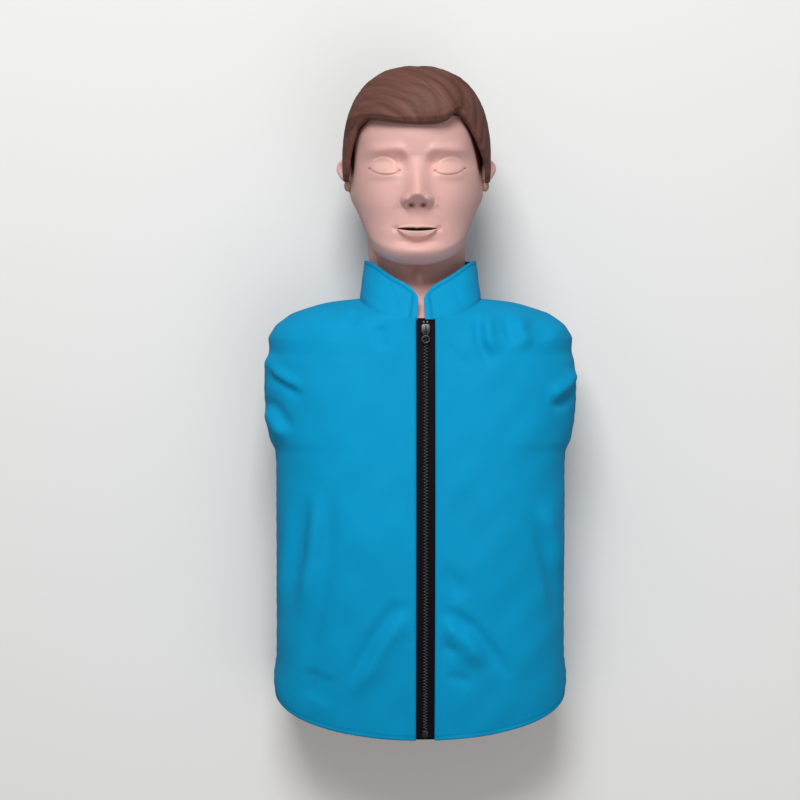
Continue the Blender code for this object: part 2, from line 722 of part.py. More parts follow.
def make_pull(look):
    """Flat ring on a shank, with a window for the slider's bridge."""
    axis = pull_axis()
    angle = (slider_travel() + 0.0014) / ZIP_RADIUS
    lean = Matrix.Rotation(angle, 4, "X")
    half = PULL_THICKNESS / 2
    window_end = 0.0060
    ring_y = -window_end - 0.0008 - PULL_HOLE_RADIUS

    def placed(made):
        made.data.transform(lean)
        made.location = axis
        return made

    shank = placed(block("zip_pull", (-0.0030, ring_y, -half), (0.0030, half, half), look))
    ring = placed(cylinder("pull_ring", (0, ring_y, -half), (0, ring_y, half),
                           PULL_RING_RADIUS, look, 20))
    hole = placed(cylinder("pull_hole", (0, ring_y, -0.01), (0, ring_y, 0.01),
                           PULL_HOLE_RADIUS, look, 14))
    window = placed(block("pull_window", (-0.0016, -window_end, -0.01),
                          (0.0016, -half - 0.0001, 0.01), look))
    join(shank, ring)
    cut(shank, hole, window)


def make_zip(tape_look, tooth_look, pull_look):
    """Tapes, tooth rows, stops, box, slider and pull."""
    top = zip_travel(neckline_front_y()) + 0.0035
    bottom = zip_travel(hem_front_y()) - 0.004
    under = -CHAIN_SINK - TOOTH_DEPTH
    first_tooth = slider_travel() - SLIDER_LENGTH * 0.225 + FIT
    last_tooth = bottom - BOX_LENGTH - FIT
    for name, side in (("left", -1), ("right", 1)):
        make_tape(f"zip_tape_{name}", side, tape_look)
        make_teeth(f"zip_teeth_{name}", side, first_tooth, last_tooth, tooth_look)
        near, far = sorted((ZIP_X + side * 0.0008, ZIP_X + side * CHAIN_HALF))
        zip_bar(f"zip_top_stop_{name}", (near, top, under), (far, top + STOP_LENGTH, -CHAIN_SINK),
                tooth_look)
    zip_bar("zip_bottom_box", (ZIP_X - CHAIN_HALF, bottom - BOX_LENGTH, under - 0.0006),
            (ZIP_X + CHAIN_HALF, bottom, -CHAIN_SINK + 0.0006), tooth_look)
    make_slider(pull_look)
    make_pull(pull_look)


def trunk_skin(angles):
    """Grid under the jacket: the hem end closed by a wall, the trunk and the neck.

    The end wall is the first ring drawn in towards its middle, with the same bow in plan.
    """
    first = END_RECESS
    stations = first + (0.985 - first) * jacket_stations(13)
    trunk = sunk(trunk_surface(stations, angles), SKIN_INSET)
    in_front = np.cos(angles.mean()) > 0
    _, _, fronts, backs, _, _, _ = trunk_frame(stations)
    level = ((fronts + backs) / 2)[:, None]
    trunk[..., 2] = np.maximum(trunk[..., 2], level) if in_front else np.minimum(
        trunk[..., 2], level)
    side_y, width, front, back, bow, _, _ = (float(v[0]) for v in trunk_frame(np.array([first])))
    middle = (front + back) / 2
    walls = []
    for share in (0.04, 0.35, 0.70):
        x = trunk[0, :, 0] * share
        z = middle + (trunk[0, :, 2] - middle) * share
        y = side_y - bow * np.sqrt(np.clip(1 - (x / width) ** 2, 0, 1))
        walls.append(np.stack([x, y, z], axis=1))
    rings = []
    for side, half, front_z, front_y, back_z, back_y in NECK_RINGS:
        facing = np.cos(angles)
        aside = neck_middle(side)
        level = (front_z + back_z) / 2
        towards = np.where(facing > 0, front_y - side, back_y - side)
        y = side + towards * np.abs(facing) ** 1.5
        rings.append(np.stack([aside + half * np.sin(angles), y,
                               level + (front_z - back_z) / 2 * facing], axis=1))
    grid = np.concatenate([np.stack(walls), trunk, np.stack(rings)])
    grid[..., 2] += SKIN_SEAM if in_front else -SKIN_SEAM
    return grid


def skin_lining(outer, thickness):
    """Lining of one half of the skin, which never passes the level of its own side edges."""
    inner = sunk(outer, thickness)
    edge = outer[:, :1, 2]
    front = outer[:, outer.shape[1] // 2, 2:3].mean() > edge.mean()
    inner[..., 2] = np.maximum(inner[..., 2], edge) if front else np.minimum(inner[..., 2], edge)
    return inner


def make_chest_skin(look):
    """Soft cover over the chest and the front of the neck, with the Adam's apple."""
    edge = seam_angle(2.0)
    outer = trunk_skin(np.linspace(-edge, edge, 13))
    inner = skin_lining(outer, SKIN_THICKNESS)
    apple = np.exp(-((outer[:, :, 0] + 0.002) / 0.010) ** 2
                   - ((outer[:, :, 1] - 0.141) / 0.011) ** 2)
    outer[:, :, 2] += APPLE_HEIGHT * apple * (outer[:, :, 2] > 0.12)
    shell("chest_skin", outer, inner, look, step=1)


def make_torso_base(look):
    """Moulded tray that forms the back, the hem end's lower half and the nape."""
    edge = math.pi - seam_angle(2.0)
    outer = trunk_skin(np.linspace(edge, 2 * math.pi - edge, 15))
    shell("torso_base", outer, skin_lining(outer, BASE_THICKNESS), look)


def under_chest(depth, start_y, end_y, half_angle, rows, columns):
    """Part of the trunk's front surface, sunk by a depth, between two places along it."""
    share = np.linspace(0, 1, 201)
    line = trunk_surface(share, np.array([0.0]))[:, 0, 1]
    low, high = np.interp((start_y, end_y), line, share)
    angles = np.linspace(-half_angle, half_angle, columns)
    return sunk(trunk_surface(np.linspace(low, high, rows), angles), depth)


def make_lung(look, tube_look):
    """Flat air bag under the chest cover and the tube that fills it from the mouth."""
    top = SKIN_INSET + SKIN_THICKNESS + LUNG_GAP
    start = PRESS_Y - PLATE_LENGTH * 0.42
    end = PRESS_Y + PLATE_LENGTH * 0.50
    outer = under_chest(top, start, end, math.radians(26), 7, 7)
    inner = under_chest(top + LUNG_THICKNESS, start, end, math.radians(26), 7, 7)
    shell("lung_bag", outer, inner, look, step=1)
    swept("airway_tube", airway_path(), 0.004, 6, tube_look)


def airway_path():
    """Route of the airway: down from the mouth, through the neck and up onto the bag."""
    bag_z = zip_height(PRESS_Y + PLATE_LENGTH * 0.5) - SKIN_INSET - SKIN_THICKNESS - 0.0072
    stops = np.array([
        (HEAD_X, 0.190, 0.190), (HEAD_X, 0.190, 0.176), (HEAD_X, 0.192, 0.160),
        (HEAD_X, 0.190, 0.144), (HEAD_X, 0.178, 0.126), (HEAD_X, 0.155, 0.115),
        (HEAD_X, 0.125, 0.110), (HEAD_X, 0.095, 0.112), (HEAD_X, 0.078, 0.124),
        (HEAD_X, 0.071, 0.145), (HEAD_X, 0.070, 0.165), (HEAD_X, 0.068, 0.180),
        (HEAD_X, PRESS_Y + PLATE_LENGTH * 0.5 + 0.0065, bag_z),
    ])
    key = np.linspace(0, 1, len(stops))
    fine = np.linspace(0, 1, 25)
    return np.stack([smooth_curve(key, stops[:, axis], fine) for axis in range(3)], axis=1)


def make_chest_plate(look):
    """Plate under the bag, with the sleeve that slides on the post and the spring's cup."""
    top = SKIN_INSET + SKIN_THICKNESS + 2 * LUNG_GAP + LUNG_THICKNESS
    start = PRESS_Y - PLATE_LENGTH / 2
    end = PRESS_Y + PLATE_LENGTH / 2
    outer = under_chest(top, start, end, math.radians(38), 7, 9)
    inner = under_chest(top + PLATE_THICKNESS, start, end, math.radians(38), 7, 9)
    plate = shell("chest_plate", outer, inner, look, step=1)
    face = zip_height(PRESS_Y) - top
    sleeve = cylinder("plate_sleeve", (0, PRESS_Y, CUP_Z), (0, PRESS_Y, face - 0.002),
                      SLEEVE_RADIUS, look, 24)
    cup = cylinder("plate_cup", (0, PRESS_Y, CUP_Z), (0, PRESS_Y, CUP_Z + CUP_THICKNESS),
                   CUP_RADIUS, look, 24)
    bore = cylinder("plate_bore", (0, PRESS_Y, CUP_Z - 0.01), (0, PRESS_Y, face - 0.004),
                    POST_RADIUS + FIT, look, 24)
    join(plate, sleeve, cup)
    cut(plate, bore)


def floor_of_base():
    """Height of the tray's inside at the press."""
    return SKIN_INSET + BASE_THICKNESS


def make_spring_seat(look, steel):
    """Turned seat with its guide post, screwed down onto the tray by four screws."""
    floor = floor_of_base() + FIT
    top = floor + SEAT_THICKNESS
    seat = cylinder("spring_seat", (0, PRESS_Y, floor), (0, PRESS_Y, top), SEAT_RADIUS, look, 24)
    face = zip_height(PRESS_Y) - SKIN_INSET - SKIN_THICKNESS - 2 * LUNG_GAP - LUNG_THICKNESS
    post = cylinder("seat_post", (0, PRESS_Y, floor + 0.001),
                    (0, PRESS_Y, face - 0.004 - STROKE - 0.002), POST_RADIUS, look, 20)
    join(seat, post)
    for index in range(4):
        turn = math.radians(45 + 90 * index)
        x = SCREW_CIRCLE * math.cos(turn)
        y = PRESS_Y + SCREW_CIRCLE * math.sin(turn)
        hole = cylinder(f"seat_hole_{index}", (x, y, floor - 0.01), (x, y, top + 0.01),
                        SCREW_RADIUS + FIT, look, 8)
        cut(seat, hole)
        head = cylinder(f"seat_screw_{index + 1}", (x, y, top + FIT),
                        (x, y, top + FIT + SCREW_HEAD_HEIGHT), SCREW_HEAD_RADIUS, steel, 12)
        shank = cylinder(f"screw_shank_{index}", (x, y, floor + FIT),
                         (x, y, top + FIT + 0.001), SCREW_RADIUS, steel, 8)
        join(head, shank)


def make_spring(look):
    """Coil between the seat and the cup: radius fixed, height in step with the turn."""
    low = floor_of_base() + FIT + SEAT_THICKNESS + FIT + WIRE_RADIUS
    high = CUP_Z - FIT - WIRE_RADIUS
    turn = np.linspace(0, SPRING_TURNS, SPRING_TURNS * 10 + 1)
    angle = 2 * np.pi * turn
    flat = 0.75
    climb = np.clip((turn - flat) / (SPRING_TURNS - 2 * flat), 0, 1)
    pad = (WIRE_RADIUS * 2 + FIT) * (np.clip(turn / flat, 0, 1)
                                     + np.clip((turn - SPRING_TURNS + flat) / flat, 0, 1))
    z = low + pad + (high - low - 2 * (WIRE_RADIUS * 2 + FIT)) * climb
    path = np.stack([SPRING_RADIUS * np.cos(angle), PRESS_Y + SPRING_RADIUS * np.sin(angle), z], 1)
    swept("compression_spring", path, WIRE_RADIUS, 6, look)


def neck_middle(y):
    """The neck's middle runs from the body's middle to the head's."""
    return HEAD_X * min(1.0, max(0.0, (y - NECK_START_Y) / 0.110))


def make_neck(look, saddle_look, steel):
    """Rigid core of the neck, domed about the tilt pin, on its saddle."""
    low = TILT_Z - 0.001
    rings = [(NECK_START_Y, 0.040, 0.036, low), (0.100, 0.044, 0.038, low),
             (0.140, 0.046, 0.0385, low), (0.190, NECK_HALF_WIDTH, NECK_RADIUS, TILT_Z),
             (0.220, NECK_HALF_WIDTH, NECK_RADIUS, TILT_Z)]
    for degrees in (0, 20, 38, 54, 68, 80):
        rise = math.radians(degrees)
        rings.append((TILT_Y + NECK_RADIUS * math.sin(rise), NECK_HALF_WIDTH * math.cos(rise),
                      NECK_RADIUS * math.cos(rise), TILT_Z))
    angles = np.linspace(0, 2 * np.pi, 22, endpoint=False)
    loops = [[(half * math.cos(a) + neck_middle(y), y, middle + radius * math.sin(a))
              for a in angles] for y, half, radius, middle in rings]
    neck = loft("neck", loops, look)
    pin_bore = cylinder("neck_pin_bore", (-0.08, TILT_Y, TILT_Z), (0.08, TILT_Y, TILT_Z),
                        TILT_PIN_RADIUS + FIT, look, 20)
    airway = swept("neck_airway", airway_path(), 0.0046, 6, look)
    cut(neck, pin_bore, airway)
    cylinder("tilt_pin", (HEAD_X - TILT_PIN_HALF, TILT_Y, TILT_Z),
             (HEAD_X + TILT_PIN_HALF, TILT_Y, TILT_Z), TILT_PIN_RADIUS, steel, 20)
    saddle_low = floor_of_base() + SADDLE_RISE
    saddle = block("neck_saddle", (-SADDLE_HALF_WIDTH, 0.080, saddle_low),
                   (SADDLE_HALF_WIDTH, 0.080 + SADDLE_LENGTH, 0.075), saddle_look)
    seat_rings = [[((half + ROOM) * math.cos(a) + neck_middle(y), y,
                    low + (radius + ROOM) * math.sin(a)) for a in angles]
                  for y, half, radius in ((0.060, 0.0366, 0.0342), (NECK_START_Y, 0.040, 0.036),
                                          (0.100, 0.044, 0.038), (0.120, 0.045, 0.03825))]
    cut(saddle, loft("saddle_seat", seat_rings, saddle_look))


def head_radius(ways, half_width, top, front, back, squareness):
    """Distance from the head's middle to a squared ellipsoid along each unit direction."""
    depth = np.where(ways[..., 2] > 0, front, back)
    total = (np.abs(ways[..., 0]) / half_width) ** squareness
    total = total + (np.abs(ways[..., 1]) / top) ** squareness
    total = total + (np.abs(ways[..., 2]) / depth) ** squareness
    return total ** (-1 / squareness)


def skull_ball(name, shrink, segments, rings, look):
    """Closed squared ellipsoid of the skull, drawn in by a wall."""
    centre = np.array((HEAD_X, HEAD_Y, HEAD_Z))
    azimuth = np.linspace(0, 2 * np.pi, segments, endpoint=False)
    loops = []
    for polar in np.linspace(0.06, np.pi - 0.06, rings):
        ways = np.stack([np.sin(polar) * np.cos(azimuth), np.full(segments, np.cos(polar)),
                         np.sin(polar) * np.sin(azimuth)], axis=1)
        radius = head_radius(ways, SKULL_HALF_WIDTH, SKULL_TOP, SKULL_FRONT, SKULL_BACK,
                             SKULL_SQUARENESS) - shrink
        loops.append(centre + ways * radius[:, None])
    return loft(name, loops, look)


def make_skull(look):
    """Hard shell of the head: open towards the neck, with the ears and the pin bosses."""
    skull = skull_ball("skull_shell", 0.0, 22, 11, look)
    hollow = skull_ball("skull_hollow", SKULL_WALL, 14, 8, look)
    slope = Vector((0, SKULL_CUT_FRONT_Y - SKULL_CUT_BACK_Y, 0.160)).normalized()
    middle = Vector((HEAD_X, (SKULL_CUT_FRONT_Y + SKULL_CUT_BACK_Y) / 2, 0.120))
    down = Vector((0, -slope.z, slope.y))
    corners = []
    for across in (-0.12, 0.12):
        for along in (-0.16, 0.16):
            for depth in (0.0, 0.12):
                corners.append(middle + Vector((across, 0, 0)) + slope * along + down * depth)
    faces = [(0, 1, 3, 2), (4, 6, 7, 5), (0, 4, 5, 1), (2, 3, 7, 6), (0, 2, 6, 4), (1, 5, 7, 3)]
    opening = new_object("skull_opening", corners, faces, look)
    ears = []
    bosses = []
    bores = []
    for name, side in (("left", -1), ("right", 1)):
        ears.append(make_ear(name, side, look))
        for label, y, z, radius, bore in (
                ("tilt", TILT_Y, TILT_Z, TILT_PIN_RADIUS + 0.0035, TILT_PIN_RADIUS + FIT),
                ("jaw", JAW_Y, JAW_Z, JAW_PIN_RADIUS + 0.0025, JAW_PIN_RADIUS + FIT)):
            inner = 0.0500 if label == "tilt" else 0.0510
            bosses.append(cylinder(f"{label}_boss_{name}", (HEAD_X + side * inner, y, z),
                                   (HEAD_X + side * 0.0680, y, z), radius, look, 16))
            end = TILT_PIN_HALF + FIT if label == "tilt" else 0.0625
            bores.append(cylinder(f"{label}_bore_{name}", (HEAD_X + side * (inner - 0.01), y, z),
                                  (HEAD_X + side * end, y, z), bore, look, 16))
    cut(skull, hollow, opening)
    join(skull, *bosses, *ears)
    cut(skull, *bores)


def make_ear(name, side, look):
    """Flattened leaf that stands off the skull, with the hollow of the concha."""
    azimuth = np.linspace(0, 2 * np.pi, 12, endpoint=False)
    loops = []
    for polar in np.linspace(0.15, np.pi - 0.15, 7):
        fat = math.sin(polar)
        loops.append([(0.0070 * fat * math.cos(a) + 0.0032 * math.cos(polar),
                       0.025 * math.cos(polar), 0.014 * fat * math.sin(a)) for a in azimuth])
    turn = Matrix.Rotation(-side * math.radians(52), 4, "Y")
    place = Matrix.Translation((HEAD_X + side * EAR_X, EAR_Y, EAR_Z)) @ turn
    points = [[place @ Vector((side * x, y, z)) for x, y, z in loop] for loop in loops]
    return loft(f"ear_{name}", points, look)


def hair_ways(down, around):
    """Unit directions by the angle down from the hair's pole and the angle round from it."""
    pole = np.array((0, math.cos(HAIR_POLE_TILT), -math.sin(HAIR_POLE_TILT)))
    front = np.array((0, math.sin(HAIR_POLE_TILT), math.cos(HAIR_POLE_TILT)))
    side = np.array((1.0, 0, 0))
    flat = np.cos(around)[..., None] * front + np.sin(around)[..., None] * side
    return np.cos(down)[..., None] * pole + np.sin(down)[..., None] * flat


def hairline(around):
    """Angle of the hair's edge below the pole, the same on both sides of the head."""
    folded = np.degrees(np.abs((around + np.pi) % (2 * np.pi) - np.pi))
    table = np.asarray(HAIRLINE, float)
    return np.radians(smooth_curve(table[:, 0], table[:, 1], folded))


def make_hair(look):
    """Moulded hair piece: a shell over the skull with a swept fringe and strand grooves."""
    segments = 36
    rings = 12
    lining_rings = 7
    turn = np.linspace(0, 2 * np.pi, segments, endpoint=False)
    around = turn + 0.30 * np.sin(2 * turn)
    edge = hairline(around)
    centre = np.array((HEAD_X, HEAD_Y, HEAD_Z))

    def grid(count, outside):
        share = np.linspace(0.04, 1, count)[:, None]
        ways = hair_ways(share * edge[None, :], np.broadcast_to(around, (count, segments)))
        if not outside:
            radius = head_radius(ways, HAIR_SIDE_ROOM, SKULL_TOP + HAIR_FIT, HAIR_FRONT_ROOM,
                                 SKULL_BACK + HAIR_FIT, SKULL_SQUARENESS)
            return centre + ways * radius[..., None]
        radius = head_radius(ways, HAIR_HALF_WIDTH, HAIR_TOP, HAIR_FRONT, HAIR_BACK,
                             HAIR_SQUARENESS)
        plan_x = ways[..., 0] * radius
        plan_y = ways[..., 1] * radius
        front = np.clip(ways[..., 2], 0, 1)
        fringe = np.exp(-((plan_y - 0.062) / 0.034) ** 2 - ((plan_x - 0.008) / 0.060) ** 2)
        strands = np.cos(2 * np.pi * (plan_x * 0.8 - plan_y * 0.6) / 0.022)
        radius = radius + FRINGE_HEIGHT * fringe * front + STRAND_DEPTH * strands * (share < 0.98)
        return centre + ways * radius[..., None]

    outer = grid(rings, True)
    inner = grid(lining_rings, False)
    tops = [outer[0].mean(axis=0), inner[0].mean(axis=0)]
    points = [*map(tuple, outer.reshape(-1, 3)), *map(tuple, inner.reshape(-1, 3)),
              *map(tuple, tops)]
    first_inner = rings * segments
    pole = first_inner + lining_rings * segments
    faces = []
    for c in range(segments):
        d = (c + 1) % segments
        for start, count in ((0, rings), (first_inner, lining_rings)):
            faces += [(start + r * segments + c, start + r * segments + d,
                       start + (r + 1) * segments + d, start + (r + 1) * segments + c)
                      for r in range(count - 1)]
        faces += [(c, d, pole), (first_inner + c, first_inner + d, pole + 1)]
        low_outer = (rings - 1) * segments
        low_inner = first_inner + (lining_rings - 1) * segments
        faces.append((low_outer + c, low_outer + d, low_inner + d, low_inner + c))
    new_object("hair_piece", points, faces, look)


def mask_base(station, angle):
    """Grid of the face without its features.

    Each station is a half of a squared ellipse in the slanted plane through the middle point
    and the side edges: x goes as a power of the sine, and the way from the edge to the middle
    as a power of the cosine.
    """
    station = np.asarray(station, float)[:, None]
    angle = np.asarray(angle, float)[None, :]
    width = MASK_HALF_WIDTH * table_column(MASK_STATIONS, 1, station)
    power = 2 / MASK_SQUARENESS
    x = HEAD_X + width * np.sign(np.sin(angle)) * np.abs(np.sin(angle)) ** power
    share = np.abs(np.cos(angle)) ** power
    middle_y, middle_z, edge_y, edge_z = (table_column(MASK_STATIONS, c, station)
                                          for c in (2, 3, 4, 5))
    y = edge_y + (middle_y - edge_y) * share
    z = edge_z + (middle_z - edge_z) * share
    return np.stack([x, y, z], axis=2)


def hump(x, y, centre_x, centre_y, size_x, size_y):
    """Smooth bell over a place in plan."""
    return np.exp(-((x - centre_x) / size_x) ** 2 - ((y - centre_y) / size_y) ** 2)


def face_features(x, y):
    """Heights of the nose, lips, lids, brows, cheeks and chin, as sums of smooth bells."""
    side = np.abs(x)
    bridge_top = 0.268
    climb = np.clip((bridge_top - y) / (bridge_top - NOSE_TIP_Y), 0, 1)
    fall = np.clip((y - NOSE_BASE_Y + 0.002) / (NOSE_TIP_Y - NOSE_BASE_Y), 0, 1)
    fall = fall * fall * (3 - 2 * fall)
    nose = NOSE_HEIGHT * climb**1.15 * fall * np.exp(-((side / (0.0062 + 0.0045 * climb)) ** 2))
    nose += 0.0085 * hump(side, y, 0.0125, 0.2165, 0.0058, 0.0065)
    nose += 0.0030 * hump(side, y, 0.0, 0.2195, 0.0075, 0.0055)
    upper_lip = 0.0034 * hump(side, y, 0.0, 0.1955, 0.019, 0.0028)
    lower_lip = 0.0042 * hump(side, y, 0.0, 0.1868, 0.017, 0.0033)
    lids = 0.0062 * hump(side, y, EYE_X, EYE_Y, 0.0135, 0.0085)
    brows = 0.0022 * hump(side, y, 0.033, 0.2745, 0.022, 0.006)
    cheeks = 0.0030 * hump(side, y, 0.043, 0.226, 0.018, 0.020)
    chin = 0.0030 * hump(side, y, 0.0, 0.1665, 0.017, 0.009)
    raised = nose + upper_lip + lower_lip + lids + brows + cheeks + chin
    sockets = -0.0070 * hump(side, y, 0.030, 0.2570, 0.021, 0.0125)
    folds = -0.0016 * hump(side, y, 0.0, 0.1785, 0.020, 0.0035)
    return raised, sockets + folds


def mask_surface(station, angle, featured=True):
    """Grid of the face mask, or its smooth lining form."""
    grid = mask_base(station, angle)
    raised, sunken = face_features(grid[..., 0] - HEAD_X, grid[..., 1])
    facing = np.clip((grid[..., 2] - 0.150) / 0.030, 0, 1)
    grid[..., 2] += facing * (raised + sunken if featured else sunken)
    return grid


def make_mask(look):
    """Soft face mask with the nostrils and the mouth slit cut in."""
    edge = math.radians(88)
    share = np.linspace(-1, 1, 27)
    angles = edge * (share - 0.10 * np.sin(math.pi * share))
    stations = np.linspace(0, 1, 29)
    outer = mask_surface(stations, angles)
    inner = sunk(mask_surface(stations, angles, False), MASK_THICKNESS)
    mask = shell("face_mask", outer, inner, look)
    outline = []
    for share in np.linspace(0, 2 * np.pi, 16, endpoint=False):
        across = MOUTH_HALF_WIDTH * math.cos(share)
        sag = 0.0010 * (across / MOUTH_HALF_WIDTH) ** 2
        outline.append((HEAD_X + across, MOUTH_Y + sag + MOUTH_HALF_OPENING * math.sin(share)))
    slit = prism("mouth_slit", outline, 0.170, 0.060, look)
    cut(mask, slit)
    for index, side in enumerate((-1, 1)):
        x = HEAD_X + side * NOSTRIL_X
        base_z = 0.2145
        cut(mask, cylinder(f"nostril_{index}", (x, NOSE_BASE_Y - 0.006, base_z - 0.003),
                           (x, NOSE_BASE_Y + 0.006, base_z + 0.003), NOSTRIL_RADIUS, look, 10))
    for name, side in (("left", -1), ("right", 1)):
        make_mask_peg(name, side, mask, look)


def make_mask_peg(name, side, mask, look):
    """Round-headed peg that holds the mask's side on the skull."""
    out = 0.0800
    shank = 0.0700
    peg = cylinder(f"mask_peg_{name}", (HEAD_X + side * 0.0772, PEG_Y, PEG_Z),
                   (HEAD_X + side * out, PEG_Y, PEG_Z), PEG_RADIUS, look, 16,
                   end_radius=PEG_RADIUS * 0.7)
    stem = cylinder(f"peg_stem_{name}", (HEAD_X + side * shank, PEG_Y, PEG_Z),
                    (HEAD_X + side * 0.0780, PEG_Y, PEG_Z), 0.0020, look, 8)
    join(peg, stem)
    hole = cylinder(f"peg_hole_{name}", (HEAD_X + side * 0.060, PEG_Y, PEG_Z),
                    (HEAD_X + side * 0.090, PEG_Y, PEG_Z), 0.0020 + FIT, look, 10)
    cut(mask, hole)


def make_jaw(look, steel):
    """Chin plate that follows the mask's inside, with an arm up to each jaw pin."""
    edge = math.radians(64)
    angles = np.linspace(-edge, edge, 13)
    inside = MASK_THICKNESS + JAW_FIT
    face = mask_surface(np.linspace(0.12, 0.34, 7), angles, False)
    jaw = shell("jaw", sunk(face, inside), sunk(face, inside + JAW_THICKNESS), look)
    for name, side in (("left", -1), ("right", 1)):
        x_in = HEAD_X + side * 0.0476
        x_out = HEAD_X + side * 0.0504
        low, high = sorted((x_in, x_out))
        outline = ((JAW_Y + 0.0065, JAW_Z + 0.002), (JAW_Y + 0.004, JAW_Z + 0.0065),
                   (0.214, 0.147), (0.202, 0.163), (0.191, 0.162), (0.191, 0.151),
                   (0.210, 0.131), (JAW_Y - 0.002, JAW_Z - 0.0065),
                   (JAW_Y + 0.005, JAW_Z - 0.005))
        points = [(x, y, z) for x in (low, high) for y, z in outline]
        count = len(outline)
        faces = [tuple(range(count)), tuple(range(count, 2 * count))]
        faces += [(i, (i + 1) % count, count + (i + 1) % count, count + i) for i in range(count)]
        join(jaw, new_object(f"jaw_arm_{name}", points, faces, look))
        cut(jaw, cylinder(f"jaw_hole_{name}", (HEAD_X + side * 0.045, JAW_Y, JAW_Z),
                          (HEAD_X + side * 0.065, JAW_Y, JAW_Z), JAW_PIN_RADIUS + FIT, look, 14))
        cylinder(f"jaw_pin_{name}", (HEAD_X + side * 0.0470, JAW_Y, JAW_Z),
                 (HEAD_X + side * 0.0622, JAW_Y, JAW_Z), JAW_PIN_RADIUS, steel, 14)


def main():
    clear_scene()
    jacket = finish("jacket blue", JACKET_BLUE)
    tape = finish("zip tape black", TAPE_BLACK)
    tooth = finish("zip tooth black", TOOTH_BLACK)
    pull = finish("zip pull black", PULL_BLACK)
    skin = finish("skin pink", SKIN_PINK)
    tan = finish("shell tan", SHELL_TAN)
    hair = finish("hair brown", HAIR_BROWN)
    white = finish("plastic white", PLASTIC_WHITE)
    steel = finish("steel", STEEL)
    bag = finish("bag clear", BAG_CLEAR)
    make_jacket(jacket)
    make_collar(jacket)
    make_zip(tape, tooth, pull)
    make_chest_skin(skin)
    make_torso_base(tan)
    make_lung(bag, bag)
    make_chest_plate(white)
    make_spring_seat(white, steel)
    make_spring(steel)
    make_neck(tan, white, steel)
    make_skull(tan)
    make_hair(hair)
    make_mask(skin)
    make_jaw(white, steel)


main()
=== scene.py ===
"""Looks of the resuscitation manikin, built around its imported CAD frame.

Every new piece is a surface worked out with numpy on a grid of two parameters. The trunk, neck,
face, hair and zip follow formulas like those of the solids, on finer grids and with more folds,
seams, features and strands than the solids have. Metres; +Y towards the crown, +Z up.
"""

import math

import bmesh
import bpy
import numpy as np
from bpy.props import FloatProperty, FloatVectorProperty, PointerProperty
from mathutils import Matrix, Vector


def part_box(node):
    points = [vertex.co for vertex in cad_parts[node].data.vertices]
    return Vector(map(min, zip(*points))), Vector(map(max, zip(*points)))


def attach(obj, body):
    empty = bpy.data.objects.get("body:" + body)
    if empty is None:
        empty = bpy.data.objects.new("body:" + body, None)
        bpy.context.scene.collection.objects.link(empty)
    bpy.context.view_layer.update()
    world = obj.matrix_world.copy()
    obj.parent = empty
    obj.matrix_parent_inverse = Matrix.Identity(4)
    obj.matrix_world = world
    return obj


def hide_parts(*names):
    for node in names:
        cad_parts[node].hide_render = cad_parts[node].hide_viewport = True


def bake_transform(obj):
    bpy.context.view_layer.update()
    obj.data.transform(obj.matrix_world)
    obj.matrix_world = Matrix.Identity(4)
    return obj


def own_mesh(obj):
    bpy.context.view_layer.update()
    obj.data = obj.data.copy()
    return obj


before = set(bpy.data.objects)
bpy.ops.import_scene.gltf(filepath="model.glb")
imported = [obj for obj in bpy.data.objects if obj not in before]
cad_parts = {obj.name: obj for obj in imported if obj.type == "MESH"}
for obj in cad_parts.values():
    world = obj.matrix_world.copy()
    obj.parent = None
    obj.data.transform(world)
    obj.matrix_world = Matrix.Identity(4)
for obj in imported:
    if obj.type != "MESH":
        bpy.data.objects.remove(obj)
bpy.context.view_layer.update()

bl_info = {
    "name": "Resuscitation Manikin Looks",
    "version": (1, 0, 0),
    "blender": (4, 5, 0),
    "location": "View3D > Sidebar > Manikin",
    "description": "Builds the clothes, face, hair and finishes of a half-body manikin",
    "category": "Add Mesh",
}

# The trunk's form
HEM_SIDE_Y = -0.336
TRUNK_LENGTH = 0.455
HALF_WIDTH = 0.181
CHEST_HEIGHT = 0.212
CHEST_PEAK_Y = -0.070
HEM_BOW = 0.049
NECKLINE_LEAN = 0.026
NECKLINE_BACK_STEP = 0.006
NECKLINE_BACK_HEIGHT = 0.032
FRONT_SQUARENESS = 2.5
BACK_SQUARENESS = 3.0
BACK_SINK = 0.004
SEAM_HALF_GAP = 0.0002
FOLD_FLOOR = 0.0046

# The cloth's hem, seams and edges
HEM_RISE = 0.0007
STITCH_GROOVE = 0.0007
STITCH_HALF_WIDTH = 0.0008
STITCH_TINT_HALF_WIDTH = 0.0011
ZIP_EDGE_RISE = 0.0006
SEAM_TURN_RADIUS = 0.10
PUCKER_HEIGHT = 0.0004
PUCKER_PITCH = 0.016
PUCKER_REACH = 0.010
JACKET_SHEEN = 0.015

# The stand collar
COLLAR_HALF_WIDTH = 0.065
COLLAR_THICKNESS = 0.0022
COLLAR_SIDE_Y = 0.163
COLLAR_BACK_Y = 0.172
COLLAR_FRONT_Y = 0.130
COLLAR_FRONT_HEIGHT = 0.176
COLLAR_BACK_HEIGHT = 0.034
COLLAR_CORNER = 0.022
COLLAR_GAP_RIGHT = 0.0028
COLLAR_GAP_LEFT = 0.0034
COLLAR_TURN_RADIUS = 0.062
COLLAR_GROOVE = 0.0006
COLLAR_CREASE = 0.0010

# The body under the jacket, and the neck
SKIN_INSET = 0.0065
END_RECESS = 0.02
SKIN_TOP_STATION = 0.985
SKIN_WALL = 0.0028
SKIN_HALF_GAP = 0.0005
NECK_START_Y = 0.078
NECK_RUN = 0.110
APPLE_X = -0.002
APPLE_Y = 0.143
APPLE_RISE = 0.0062

